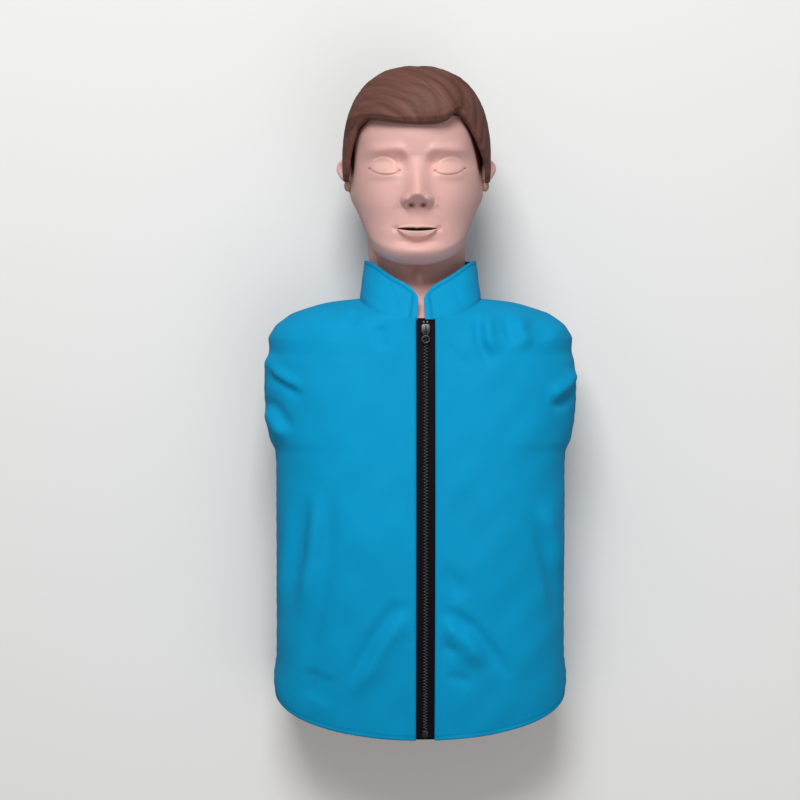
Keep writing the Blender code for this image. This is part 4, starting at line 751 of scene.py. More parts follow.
def make_skin(name, front, look):
    """Half of the body under the jacket; the front has the Adam's apple and the neck's cords."""
    edge = seam_angle(2.0)
    turn = np.linspace(-edge, edge, 97)
    grid = trunk_skin(turn if front else turn + math.pi, 66, 54)
    x, y, z = grid[..., 0], grid[..., 1], grid[..., 2]
    if front:
        raised = z > 0.12
        apple = APPLE_RISE * hump(x, y, APPLE_X, APPLE_Y, 0.0062, 0.0085)
        rim = -0.0016 * hump(x, y, APPLE_X, APPLE_Y - 0.0095, 0.0085, 0.0030)
        along = (y - 0.135) / 0.030
        cords = np.exp(-((np.abs(x + 0.003) - 0.012 - 0.012 * along) / 0.0042) ** 2)
        cords = 0.0012 * cords * ease(-0.2, 0.4, along)
        grid[..., 2] += (apple + rim + cords) * raised
    grid[..., 2] += SKIN_HALF_GAP if front else -SKIN_HALF_GAP
    made = mesh_piece(name, grid, quads(*grid.shape[:2]), look)
    return thicken(made, SKIN_WALL)


# The zip


def teeth_points(side, starts):
    """Teeth of one side as a smooth block each: rounded boxes laid along the zip's arc.

    A tooth's cross-section is a squared circle of exponent 4 in x and height, carried along
    the arc with its size falling off at both ends; the head that grips the other row is a
    swelling at the tip.
    """
    sides = 10
    turn = np.linspace(0, 2 * np.pi, sides, endpoint=False)
    along = np.array((-1.0, -0.94, -0.55, 0.0, 0.55, 0.94, 1.0))
    size = np.array((0.02, 0.72, 0.97, 1.0, 0.97, 0.72, 0.02))
    across = squared(np.cos(turn), 0.5)
    high = squared(np.sin(turn), 0.5)
    x = ZIP_X + side * TOOTH_MIDDLE + TOOTH_HALF_WIDTH * across[None, :] * size[:, None]
    swell = 1 + TOOTH_GRIP * (np.sign(across)[None, :] == -side) * np.abs(across)[None, :]
    half = TOOTH_HALF_LENGTH * swell
    height = -CHAIN_SINK - TOOTH_DEPTH / 2 + TOOTH_DEPTH / 2 * high[None, :] * size[:, None]
    travel = starts[:, None, None] + (half * along[:, None])[None]
    points = zip_point(np.broadcast_to(x, travel.shape), travel,
                       np.broadcast_to(height, travel.shape))
    count = len(along) * sides
    bands = quads(len(along), sides, closed=True).tolist()
    caps = [list(range(sides))[::-1], list(range(count - sides, count))]
    every = [[i + k * count for i in face] for part in (bands, caps)
             for k in range(len(starts)) for face in part]
    if side > 0:
        every = [face[::-1] for face in every]
    return points.reshape(-1, 3), every


def plate(name, outline, low, high, look, round_edge, travel):
    """Flat plate in the zip's own directions, with its edges rounded by a bevel."""
    outline = np.asarray(outline, float)
    count = len(outline)
    rows = [zip_point(ZIP_X + outline[:, 0], travel + outline[:, 1], height)
            for height in (low, high)]
    faces = [list(range(count))[::-1], list(range(count, 2 * count))]
    faces += [[i, (i + 1) % count, count + (i + 1) % count, count + i] for i in range(count)]
    made = mesh_piece(name, np.concatenate(rows), faces, look)
    merge_doubles(made)
    step = made.modifiers.new("round edges", "BEVEL")
    step.width = round_edge
    step.segments = 3
    step.limit_method = "ANGLE"
    apply_steps(made)
    return made


def merge_doubles(made, outwards=True):
    """Merge doubled points, as at a pole, and turn the faces of a closed mesh outwards."""
    work = bmesh.new()
    work.from_mesh(made.data)
    bmesh.ops.remove_doubles(work, verts=work.verts, dist=MERGE_DISTANCE)
    if outwards:
        bmesh.ops.recalc_face_normals(work, faces=work.faces)
    work.to_mesh(made.data)
    work.free()


def tube(name, path, radius, look, sides=16, closed=False):
    """Round bar along a path: circles set across it, the ends drawn in to a point.

    The circles start towards the axis that the path keeps furthest from.
    """
    path = np.asarray(path, float)
    ahead = np.roll(path, -1, 0) - np.roll(path, 1, 0) if closed else np.gradient(path, axis=0)
    ahead /= np.linalg.norm(ahead, axis=1, keepdims=True)
    first = np.eye(3)[np.argmin(np.abs(ahead).max(axis=0))]
    side = first - ahead * (ahead @ first)[:, None]
    side /= np.linalg.norm(side, axis=1, keepdims=True)
    up = np.cross(ahead, side)
    turn = np.linspace(0, 2 * np.pi, sides, endpoint=False)[None, :, None]
    ring = np.cos(turn) * side[:, None] + np.sin(turn) * up[:, None]
    radius = np.broadcast_to(radius, len(path))[:, None, None]
    grid = path[:, None] + radius * ring
    if closed:
        grid = np.concatenate([grid, grid[:1]])
    else:
        tips = [np.broadcast_to(path[end], (1, sides, 3)) for end in (0, -1)]
        grid = np.concatenate([tips[0], grid, tips[1]])
    made = mesh_piece(name, grid, quads(grid.shape[0], sides, closed=True), look)
    merge_doubles(made)
    return made


def make_coil(low, high, look):
    """Compression spring: turns of wire whose height rises in step with the angle.

    The first and the last stretch climb only by the pad, little more than the wire's own
    thickness, so they lie almost flat as the spring's ends.
    """
    wire, end = SPRING_WIRE, SPRING_END_TURN
    turn = np.linspace(0, SPRING_TURNS, 241)
    last = SPRING_TURNS - end
    climb = np.clip((turn - end) / (last - end), 0, 1)
    pad = 2.2 * wire * (np.clip(turn / end, 0, 1) + np.clip((turn - last) / end, 0, 1))
    rise = low.z + wire + pad + (high.z - low.z - 6.4 * wire) * climb
    angle = 2 * np.pi * turn + np.pi / 2
    middle = (low + high) / 2
    reach = (high.x - low.x) / 2 - wire
    path = np.stack([middle.x + reach * np.cos(angle), middle.y + reach * np.sin(angle), rise],
                    axis=1)
    return tube("coil_spring", path, wire, look, 10)


def make_airway(look):
    """Corrugated clear tube from the mouth down through the neck and up onto the air bag."""
    route = np.array(AIRWAY_STOPS)
    key = np.linspace(0, 1, len(route))
    fine = np.linspace(0, 1, 240)
    y, z = (smooth_curve(key, route[:, axis], fine) for axis in (0, 1))
    path = np.stack([np.full_like(y, HEAD[0]), y, z], axis=1)
    way = np.concatenate([[0], np.cumsum(np.linalg.norm(np.diff(path, axis=0), axis=1))])
    radius = HOSE_RADIUS + HOSE_RIB * np.cos(2 * np.pi * way / HOSE_RIB_PITCH)
    return tube("airway_hose", path, radius, look, 12)


# The head


def head_radius(ways, half_width, top, front, back, squareness):
    """Distance from the head's middle to a squared ellipsoid along each unit direction."""
    depth = np.where(ways[..., 2] > 0, front, back)
    total = (np.abs(ways[..., 0]) / half_width) ** squareness
    total = total + (np.abs(ways[..., 1]) / top) ** squareness
    total = total + (np.abs(ways[..., 2]) / depth) ** squareness
    return total ** (-1 / squareness)


def crown_ways(polar, azimuth):
    """Unit directions by the angle down from the crown and the angle round it."""
    return np.stack([np.sin(polar) * np.cos(azimuth), np.cos(polar),
                     np.sin(polar) * np.sin(azimuth)], axis=-1)


def make_skull(look):
    """Hard shell under the hair: a squared ellipsoid from the crown down to a slanted rim.

    The rim lies in a plane. Its angle from the crown is found by repeating that its cosine
    is the plane's drop over the distance there.
    """
    form = (SKULL_HALF_WIDTH, SKULL_TOP, SKULL_FRONT, SKULL_BACK, SKULL_SQUARENESS)
    azimuth = np.linspace(0, 2 * np.pi, 120, endpoint=False)
    drop = -SKULL_RIM_DROP - SKULL_RIM_LEAN * np.sin(azimuth)
    rim = np.full(120, 2.2)
    for _ in range(6):
        rim = np.arccos(np.clip(drop / head_radius(crown_ways(rim, azimuth), *form), -1, 1))
    polar = np.concatenate([np.zeros(1), np.linspace(0.02, 1, 60)])[:, None] * rim[None, :]
    ways = crown_ways(polar, azimuth)
    grid = HEAD + ways * head_radius(ways, *form)[..., None]
    made = mesh_piece("skull_dome", grid, quads(*grid.shape[:2], closed=True), look)
    merge_doubles(made)
    return thicken(made, SKULL_WALL)


def make_ear(name, side, look):
    """Ear as a leaf of two parameters, distance from its middle and angle round it.

    The outline is an egg that narrows to the lobe. Across it stand the rolled rim, a bell at
    0.86 of the way out, and the inner fold, a bell at 0.52; the bowl between them is sunk.
    """
    out = np.linspace(0, 1, 34)[:, None]
    turn = np.linspace(0, 2 * np.pi, 96, endpoint=False)[None, :]
    tall = 0.0160 - 0.0005 * np.sin(turn)
    wide = 0.0138 + 0.0052 * np.sin(turn) - 0.0008 * np.cos(turn)
    across = wide * np.cos(turn) * out
    along = tall * np.sin(turn) * out
    lobe = ease(-0.35, -0.85, np.sin(turn))
    rim = 0.0034 * np.exp(-((out - 0.86) / 0.10) ** 2) * (1 - 0.75 * lobe)
    fold = 0.0026 * np.exp(-((out - 0.52) / 0.11) ** 2) * ease(-0.9, 0.2, -np.cos(turn))
    bowl = -0.0042 * np.exp(-(out / 0.36) ** 2) - 0.0012 * np.exp(-((out - 0.70) / 0.06) ** 2)
    curl = 0.0030 * out**2 * np.cos(turn) ** 2
    height = rim + fold + bowl * (1 - 0.5 * lobe) - 0.002 * out**6 + curl
    lean = math.radians(52)
    back = across * math.sin(lean) - height * math.cos(lean)
    inward = 0.0050 * ease(0.2, -1.0, np.sin(turn) * out)
    x = HEAD[0] + side * (EAR_X - inward + across * math.cos(lean) + height * math.sin(lean))
    y = EAR_Y + along + 0.30 * across
    z = EAR_Z - back * 0.9
    grid = np.stack([x, y, z], axis=2)
    faces = quads(*grid.shape[:2], closed=True)
    made = mesh_piece(f"ear_{name}", grid, faces if side > 0 else faces[:, ::-1], look)
    merge_doubles(made, outwards=False)
    return thicken(made, EAR_WALL)


def hair_ways(down, around):
    """Unit directions by the angle down from the hair's pole and the angle round from it."""
    pole = np.array((0, math.cos(HAIR_POLE_TILT), -math.sin(HAIR_POLE_TILT)))
    front = np.array((0, math.sin(HAIR_POLE_TILT), math.cos(HAIR_POLE_TILT)))
    side = np.array((1.0, 0, 0))
    flat = np.cos(around)[..., None] * front + np.sin(around)[..., None] * side
    return np.cos(down)[..., None] * pole + np.sin(down)[..., None] * flat


def hairline(around):
    """Angle of the hair's edge below the pole."""
    signed = np.degrees((around + np.pi) % (2 * np.pi) - np.pi)
    table = np.asarray(HAIRLINE, float)
    return np.radians(smooth_curve(table[:, 0], table[:, 1], signed))


def from_parting(x, y):
    """Distance to the right of the parting, which bows outwards above the notch."""
    share = np.clip((y - PARTING_LOW_Y) / PARTING_RUN, -0.1, 1.3)
    return x - PARTING_X - PARTING_BOW * np.sin(np.pi * share)


def strand_fields(x, y, z, around):
    """Two fields that follow the strands: one across them and one along, in metres.

    On the front the strands are arcs about a point over the left temple, so across them the
    field is the distance from that point. Right of the parting and at the back they run down
    from the crown, and the field is the angle round it times a radius.
    """
    temple = np.array((-0.066, 0.268))
    reach = np.hypot(x - temple[0], y - temple[1])
    sweep = np.arctan2(y - temple[1], x - temple[0]) * SWEEP_RADIUS
    fall = HAIR_HALF_WIDTH * around
    parting = ease(-0.003, 0.005, from_parting(x, y))
    parting = parting * ease(0.372, 0.350, y)
    behind = ease(0.145, 0.112, z)
    sideburn = ease(-0.056, -0.068, x) * ease(0.322, 0.300, y)
    weight = np.maximum(np.maximum(parting, behind), sideburn)
    across = reach * (1 - weight) + fall * weight
    along = sweep * (1 - weight) + (0.40 - y) * weight
    return across, along


def lock_relief(across, along, share, front, settings):
    """Height of the locks and strands over the plain hair.

    Locks are ridges |sin|^0.75 of the field across the strands, with a sharp groove between
    two, bent by slow waves of the field along them; strands are finer cosines of the same
    field. All calm down at the crown and at the edge.
    """
    bend = 0.0030 * np.sin(along / 0.013 + across / 0.016) + 0.0018 * np.sin(along / 0.007 + 1.1)
    lock = np.abs(np.sin(np.pi * (across + bend) / settings.lock_width)) ** 0.75
    second = np.abs(np.sin(np.pi * (across + 0.6 * bend) / (settings.lock_width * 0.43) + 0.7))
    strand = np.cos(2 * np.pi * (across + 0.4 * bend) / STRAND_PITCH)
    carve = settings.lock_depth * (lock - 0.6) + 0.0005 * (second**0.8 - 0.5)
    carve = carve + STRAND_DEPTH * strand
    calm = ease(0.0, 0.18, share) * (0.55 + 0.45 * front)
    return carve * calm * ease(1.0, 0.985, share)


def parting_relief(x, y, z):
    """Height of the step beside the parting and of the groove along it, on the front only."""
    cut = from_parting(x, y)
    groove = np.exp(-((cut - 0.001) / 0.0016) ** 2) * ease(0.300, PARTING_LOW_Y, y) * ease(
        0.372, PARTING_LOW_Y + PARTING_RUN, y)
    step = PARTING_STEP * ease(0.0, -0.010, cut) * ease(-0.040, -0.012, cut)
    step = step * ease(0.300, PARTING_LOW_Y, y) * ease(0.376, 0.350, y)
    return (step - PARTING_STEP * groove) * (z > 0.15)


def make_hair(settings, look):
    """Moulded hair: a squared ellipsoid with a swept fringe, a parting, locks and strands.

    The grid runs from the pole out to the hairline and back inside as a lining.
    """
    columns, rows, lining_rows = 288, 190, 24
    turn = np.linspace(0, 2 * np.pi, columns, endpoint=False)
    around = turn + 0.30 * np.sin(2 * turn)
    edge = hairline(around)
    share = np.concatenate([np.zeros(1), np.linspace(0.02, 0.94, rows - 31),
                            np.linspace(0.94, 1, 31)[1:]])[:, None]
    ways = hair_ways(share * edge[None, :], np.broadcast_to(around, (len(share), columns)))
    radius = head_radius(ways, HAIR_HALF_WIDTH, HAIR_TOP, HAIR_FRONT, HAIR_BACK,
                         HAIR_SQUARENESS)
    plan = ways * radius[..., None]
    front = np.clip(ways[..., 2], 0, 1)
    fringe = np.exp(-((plan[..., 1] - 0.062) / 0.034) ** 2
                    - ((plan[..., 0] - 0.008) / 0.060) ** 2)
    lift = FRINGE_LIFT * fringe * front
    place = HEAD + plan
    x, y, z = place[..., 0], place[..., 1], place[..., 2]
    across, along = strand_fields(x, y, z, around[None, :])
    carve = lock_relief(across, along, share, front, settings) + parting_relief(x, y, z)
    rounded = -HAIR_EDGE_ROUND * ease(0.975, 1.0, share) ** 2
    radius = radius + lift + carve + rounded
    outer = HEAD + ways * radius[..., None]
    inner_share = np.concatenate([np.linspace(1, 0.05, lining_rows), np.zeros(1)])[:, None]
    ways = hair_ways(inner_share * edge[None, :],
                     np.broadcast_to(around, (len(inner_share), columns)))
    radius = head_radius(ways, HAIR_LINING_HALF_WIDTH, SKULL_TOP + HAIR_LINING_GAP,
                         HAIR_LINING_FRONT, SKULL_BACK + HAIR_LINING_GAP, SKULL_SQUARENESS)
    inner = HEAD + ways * radius[..., None]
    grid = np.concatenate([outer, inner])
    fields = np.stack([across, along], axis=2)
    fields = np.concatenate([fields, np.repeat(fields[-1:], len(inner_share), axis=0)])
    made = mesh_piece("hair_moulded", grid, quads(*grid.shape[:2], closed=True), look, fields)
    merge_doubles(made)
    return made


# The face


def mask_base(station, angle):
    """Grid of the face without its features.

    Each station is half of a squared ellipse in the slanted plane through the middle point
    and the side edges: x goes as a power of the sine, the way to the middle as a power of
    the cosine.
    """
    width = MASK_HALF_WIDTH * table_column(MASK_STATIONS, 1, station)[:, None]
    power = 2 / MASK_SQUARENESS
    sine, cosine = np.sin(angle)[None, :], np.cos(angle)[None, :]
    x = HEAD[0] + width * squared(sine, power)
    share = np.abs(cosine) ** power
    middle_y, middle_z, edge_y, edge_z = (table_column(MASK_STATIONS, c, station)[:, None]
                                          for c in (2, 3, 4, 5))
    y = edge_y + (middle_y - edge_y) * share
    z = edge_z + (middle_z - edge_z) * share
    return np.stack([x, y, z], axis=2)


def eye_forms(side, y):
    """Height of a closed eye, and where its lid, its corners and its lash line are.

    The lid lies over a ball in a shallow socket. The lash line is an arc that sags between
    the corners; the lid is a dome above it that ends in a fold under the brow, and the line
    itself is a narrow groove.
    """
    t = (side - EYE_X) / EYE_HALF_WIDTH
    inside = np.clip(1 - t**2, 0, 1)
    lash = 0.2586 + 0.0024 * t - 0.0070 * inside**0.8
    fold = 0.2606 + 0.0026 * t + 0.0118 * inside**0.6
    ball = 0.0062 * hump(side, y, EYE_X, EYE_Y, 0.0155, 0.0105)
    lid = ease(-0.0007, 0.0010, y - lash) * ease(0.0022, -0.0026, y - fold) * ease(0, 0.45, inside)
    under = ease(0.0, -0.0060, y - lash) * ease(-0.0120, -0.0040, y - lash) * ease(0, 0.4, inside)
    groove = np.exp(-((y - lash) / 0.0009) ** 2) * ease(0.0, 0.10, inside)
    crease = np.exp(-((y - fold) / 0.0013) ** 2) * ease(0.05, 0.35, inside)
    height = ball + 0.0010 * lid - 0.0009 * groove - 0.0007 * crease + 0.0004 * under
    # The corner mask also places painted shade in these pits.
    corner = hump(side, y, EYE_X - EYE_HALF_WIDTH, 0.2564, 0.0010, 0.0009)
    corner = corner + hump(side, y, EYE_X + EYE_HALF_WIDTH, 0.2610, 0.0012, 0.0009)
    return height - 0.0016 * corner, lid, np.clip(corner, 0, 1), groove


def nose_forms(side, y):
    """Height of the nose, and where its nostrils are.

    A ridge climbs to the tip, with a wing on each side, a furrow round the wing and the
    pillar between the nostrils.
    """
    climb = np.clip((NOSE_ROOT_Y - y) / (NOSE_ROOT_Y - NOSE_END_Y), 0, 1)
    fall = ease(0.2132, 0.2275, y)
    width = 0.0096 + 0.0036 * climb**1.5
    ridge = NOSE_RISE * climb**1.05 * fall * np.exp(-((side / width) ** 2) ** 1.05)
    tip = 0.0028 * hump(side, y, 0.0, NOSE_TIP_Y, 0.0078, 0.0066)
    wing = 0.0098 * hump(side, y, 0.0122, 0.2212, 0.0056, 0.0062) * ease(0.2120, 0.2165, y)
    furrow = -0.0016 * np.exp(-((np.hypot((side - 0.0105) / 0.0088, (y - 0.2220) / 0.0082) - 1)
                                / 0.16) ** 2) * ease(0.010, 0.014, side)
    pillar = 0.0016 * hump(side, y, 0.0, 0.2160, 0.0026, 0.0042)
    # The nostril mask also places painted shade inside the nostrils.
    nostril = hump(side, y, 0.0068, 0.2172, 0.0037, 0.0021)
    return ridge + tip + wing + furrow + pillar - 0.0062 * nostril, nostril


def mouth_forms(x, y):
    """Height of the lips about the slit, and where the lower and the upper one are.

    The lower is a full crescent, the upper a thin one with a bow in its edge.
    """
    t = np.clip(np.abs(x) / MOUTH_HALF_WIDTH, 0, 1.4)
    inside = np.clip(1 - t**2, 0, 1)
    middle = MOUTH_Y + MOUTH_CURVE * t**2
    bow = UPPER_LIP * inside**0.7 - 0.0010 * np.exp(-((x / 0.0034) ** 2))
    above = y - middle
    upper = ease(bow + 0.0012, bow - 0.0012, above) * ease(-0.0005, 0.0012, above)
    depth = LOWER_LIP * inside**0.7
    lower = ease(0.0002, -0.0014, above) * ease(-depth - 0.0010, -depth + 0.0032, above)
    spread = ease(0.0, 0.22, inside)
    height = 0.0021 * upper * spread + 0.0046 * lower * spread
    height += 0.0026 * hump(x, y, 0.0, MOUTH_Y + 0.0010, 0.0215, 0.0110)
    height -= 0.0026 * hump(x, y, 0.0, MOUTH_Y - 0.0145, 0.0165, 0.0034)
    height -= 0.0022 * np.exp(-((np.abs(x) - MOUTH_HALF_WIDTH - 0.001) / 0.0032) ** 2
                              - ((y - MOUTH_Y - 0.0006) / 0.0030) ** 2)
    philtrum = np.exp(-((x / 0.0030) ** 2)) - 0.8 * np.exp(-(((np.abs(x) - 0.0050) / 0.0022) ** 2))
    height -= 0.0004 * philtrum * ease(0.1975, 0.2005, y) * ease(0.2120, 0.2080, y)
    return height, lower * spread, upper * spread


def face_features(x, y):
    """Height of all the features over the plain face, and the masks that tint them, painted shade and
    partly painted highlight among them.
    """
    side = np.abs(x)
    eyes, lid, corner, lash = eye_forms(side, y)
    nose, nostril = nose_forms(side, y)
    lips, lower, upper = mouth_forms(x, y)
    brow_y = BROW_Y - 0.0075 * np.exp(-((side - 0.004) / 0.010) ** 2)
    brow = BROW_RISE * np.exp(-((y - brow_y) / 0.0055) ** 2) * ease(0.005, 0.018, side)
    brow = brow * ease(0.062, 0.044, side)
    soft = sum(rise * hump(side, y, *place) for rise, *place in FACE_FORMS.values())
    fold = -0.0011 * np.exp(-((side - 0.0235 - 0.42 * (0.2140 - y)) / 0.0050) ** 2)
    fold = fold * ease(0.1900, 0.2020, y) * ease(0.2200, 0.2120, y)
    height = eyes + nose + lips + brow + soft + fold
    # Painted shade: a dark band along the hair's edge at each temple stands in for the shadow in the
    # gap between mask and hair; the face has no groove there.
    open_side = np.where(x > 0, table_column(HAIR_GAP, 1, y), table_column(HAIR_GAP, 2, y))
    gap_width = 0.0024 * ease(0.302, 0.262, y) - 0.0022
    gap = ease(-0.0013, 0.0013, side - open_side + gap_width) * ease(0.2535, 0.2640, y)
    # The pale tint on the lids and lips is partly their own yellower tone and partly painted highlight
    # where the lower lip faces the light.
    tint = {"pale": np.clip(0.42 * lid + 0.65 * lower + 0.25 * upper, 0, 1),
            # The painted_shade tint paints shade inside the nostrils, in the eyes' corner pits and in
            # the gap under the hair.
            "painted_shade": np.clip(0.95 * nostril**1.4 + 0.9 * corner + gap, 0, 1),
            "line": np.clip(0.35 * lash, 0, 1)}
    return height, tint


def crowd(low, high, count, centres, widths, gains):
    """Numbers from low to high, closer together round each centre.

    The spacing is one over 1 plus a bell of each gain, summed and scaled to fit.
    """
    fine = np.linspace(low, high, 4001)
    density = np.ones_like(fine)
    for centre, width, gain in zip(centres, widths, gains):
        density += gain * np.exp(-((fine - centre) / width) ** 2)
    total = np.concatenate([[0], np.cumsum((density[1:] + density[:-1]) / 2)])
    return np.interp(np.linspace(0, total[-1], count), total, fine)


def face_stations():
    """Stations from chin to hairline, and the place of the mouth slit in them.

    They crowd at the eyes, the nose and the lips, whose stations are looked up by their y on
    the face's middle line. Two of them lie on the slit.
    """
    share = np.linspace(0, 1, 801)
    line = mask_base(share, np.array([0.0]))[:, 0, 1]
    grown = np.maximum.accumulate(np.where(share < 0.13, line.min(), line))
    grown = grown + 1e-9 * np.arange(len(share))
    slit, eye, nose = (float(np.interp(y, grown, share)) for y in (MOUTH_Y, EYE_Y, NOSE_BASE_Y))
    stations = crowd(0, 1, 236, (slit, eye, nose), (0.045, 0.05, 0.05), (2.2, 1.8, 1.2))
    at = int(np.searchsorted(stations, slit))
    return np.concatenate([stations[:at], [slit - 1e-5, slit + 1e-5], stations[at:]]), at


def make_face(look):
    """Soft mask with closed eyes, nose, lips, a real mouth slit, and a tab at each side.

    The two rows on the slit are drawn apart by the opening, and the faces between them are
    left out.
    """
    stations, at = face_stations()
    edge = math.radians(88)
    angles = crowd(-edge, edge, 191, (-0.45, 0.45, 0.0), (0.22, 0.22, 0.30), (0.6, 0.6, 0.9))
    grid = mask_base(stations, angles)
    x = grid[..., 0] - HEAD[0]
    inside = np.clip(1 - (x / (MOUTH_HALF_WIDTH - 0.0012)) ** 2, 0, 1)
    side_of_slit = np.where(np.arange(len(stations)) <= at, -1.0, 1.0)[:, None]
    slit_line = grid[at, :, 1].copy()
    wanted = MOUTH_Y + MOUTH_CURVE * np.clip((x[at] / MOUTH_HALF_WIDTH) ** 2, 0, 2)
    away = np.abs(grid[..., 1] - slit_line)
    grid[..., 1] += ((wanted - slit_line) * ease(0.050, 0.027, np.abs(x[at])))[None, :] * np.exp(
        -(away / 0.010) ** 2)
    facing = ease(0.155, 0.180, grid[..., 2])
    gap_up = MOUTH_OPEN_UP * inside**0.4 - 0.0006 * np.exp(-((x / 0.0026) ** 2)) * inside
    gap_down = MOUTH_OPEN_DOWN * inside**0.65
    gap = np.where(side_of_slit > 0, gap_up, gap_down)
    y = grid[..., 1] + side_of_slit * gap * np.exp(-away / 0.0050) * facing
    height, tint = face_features(x, y)
    rolled = -0.0016 * np.exp(-away / 0.0007) * (inside > 0) * facing
    grid[..., 1] = y
    grid[..., 2] += facing * height + rolled
    tab = hump(np.abs(x), y, MASK_HALF_WIDTH, 0.2330, 0.012, 0.0155) * ease(0.150, 0.128, grid[..., 2])
    grid[..., 0] += np.sign(x) * TAB_RISE * tab
    faces = quads(*grid.shape[:2])
    columns = len(angles)
    row = faces[:, 0] // columns
    open_mouth = (row == at) & (inside[at][faces[:, 0] % columns] > 0)
    open_mouth &= inside[at][faces[:, 1] % columns] > 0
    made = mesh_piece("face_soft", grid, faces[~open_mouth], look, None, tint)
    return thicken(made, MASK_WALL)


def make_peg(name, side, look):
    """Peg that holds the mask: its profile turned about an axis that points outwards."""
    way, radius = np.transpose(PEG_PROFILE)
    x = HEAD[0] + side * (PEG_X + way)
    path = np.stack([x, np.full_like(x, PEG_Y), np.full_like(x, PEG_Z)], axis=1)
    return tube(f"peg_knob_{name}", path, radius, look, 24)


# Materials


def feed(tree, socket, value):
    """Link another node's socket to this one, or set its own value."""
    if isinstance(value, bpy.types.NodeSocket):
        tree.links.new(value, socket)
    else:
        socket.default_value = value


def put(tree, kind, settings=None, **inputs):
    """Add a node; each input is a number, a colour or another node's socket, by its name."""
    node = tree.nodes.new(kind)
    for label, value in (settings or {}).items():
        setattr(node, label, value)
    for label, value in inputs.items():
        feed(tree, node.inputs[label.replace("_", " ")], value)
    return node


def sums(tree, operation, first, second, third=None):
    """Socket of a Math node."""
    node = put(tree, "ShaderNodeMath", {"operation": operation})
    for socket, value in zip(node.inputs, (first, second, third)):
        if value is not None:
            feed(tree, socket, value)
    return node.outputs[0]


def blend_colours(tree, amount, first, second):
    """Socket of a colour mix."""
    node = put(tree, "ShaderNodeMix", {"data_type": "RGBA"})
    for place, value in ((0, amount), (6, first), (7, second)):
        feed(tree, node.inputs[place], value)
    return node.outputs[2]


def group(name, inputs, outputs):
    """Empty shader node group with named float, vector or colour sockets."""
    tree = bpy.data.node_groups.new(name, "ShaderNodeTree")
    for side, sockets in (("INPUT", inputs), ("OUTPUT", outputs)):
        for label, kind, default in sockets:
            made = tree.interface.new_socket(label, in_out=side, socket_type=f"NodeSocket{kind}")
            if default is not None:
                made.default_value = default
    return tree, tree.nodes.new("NodeGroupInput"), tree.nodes.new("NodeGroupOutput")


def weave_group():
    """Plain weave from a UV in metres: the product of two sines, threads at the given pitch."""
    tree, given, result = group(
        "plain weave", (("UV", "Vector", None), ("Pitch", "Float", 0.0006)),
        (("Height", "Float", None), ("Tone", "Float", None)))
    scaled = put(tree, "ShaderNodeVectorMath", {"operation": "DIVIDE"})
    feed(tree, scaled.inputs[0], given.outputs["UV"])
    feed(tree, scaled.inputs[1], given.outputs["Pitch"])
    parts = put(tree, "ShaderNodeSeparateXYZ", Vector=scaled.outputs[0])
    waves = [sums(tree, "SINE", sums(tree, "MULTIPLY", parts.outputs[axis], math.pi), 0.0)
             for axis in (0, 1)]
    height = sums(tree, "MULTIPLY_ADD", sums(tree, "MULTIPLY", *waves), 0.5, 0.5)
    slub = put(tree, "ShaderNodeTexNoise", Vector=scaled.outputs[0], Scale=0.35, Detail=2.0)
    tone = sums(tree, "MULTIPLY_ADD", slub.outputs["Fac"], 0.12, 0.94)
    tree.links.new(height, result.inputs["Height"])
    tree.links.new(tone, result.inputs["Tone"])
    return tree


def unevenness_group():
    """Large and small unevenness of a surface from two noises on its coordinates."""
    tree, given, result = group(
        "unevenness", (("Vector", "Vector", None), ("Large", "Float", 12.0),
                       ("Small", "Float", 300.0), ("Spread", "Float", 0.1)),
        (("Tone", "Float", None), ("Height", "Float", None), ("Mask", "Float", None)))
    large = put(tree, "ShaderNodeTexNoise", Vector=given.outputs["Vector"],
                Scale=given.outputs["Large"], Detail=3.0, Roughness=0.55)
    small = put(tree, "ShaderNodeTexNoise", Vector=given.outputs["Vector"],
                Scale=given.outputs["Small"], Detail=2.0)
    centred = sums(tree, "SUBTRACT", large.outputs["Fac"], 0.5)
    tone = sums(tree, "MULTIPLY_ADD", centred, given.outputs["Spread"], 1.0)
    tree.links.new(tone, result.inputs["Tone"])
    tree.links.new(small.outputs["Fac"], result.inputs["Height"])
    tree.links.new(large.outputs["Fac"], result.inputs["Mask"])
    return tree


def edge_wear_group():
    """Mask of worn edges: the mesh's own pointiness broken up by a noise."""
    tree, given, result = group("edge wear", (("Vector", "Vector", None), ("Amount", "Float", 0.5)),
                                (("Mask", "Float", None),))
    shape = put(tree, "ShaderNodeNewGeometry")
    sharp = put(tree, "ShaderNodeMapRange", {"clamp": True}, Value=shape.outputs["Pointiness"],
                From_Min=0.52, From_Max=0.62)
    broken = put(tree, "ShaderNodeTexNoise", Vector=given.outputs["Vector"], Scale=700.0)
    mask = sums(tree, "MULTIPLY", sharp.outputs[0], broken.outputs["Fac"])
    tree.links.new(sums(tree, "MULTIPLY", mask, given.outputs["Amount"]), result.inputs["Mask"])
    return tree


def use_group(tree, shared, **inputs):
    """Place a shared node group in a material."""
    node = tree.nodes.new("ShaderNodeGroup")
    node.node_tree = bpy.data.node_groups[shared]
    for label, value in inputs.items():
        feed(tree, node.inputs[label], value)
    return node


def new_look(name, **sockets):
    """Material with one Principled shader whose plain sockets are set."""
    look = bpy.data.materials.new(name)
    look.use_nodes = True
    shader = look.node_tree.nodes["Principled BSDF"]
    for label, value in sockets.items():
        shader.inputs[label.replace("_", " ")].default_value = value
    return look, look.node_tree, shader


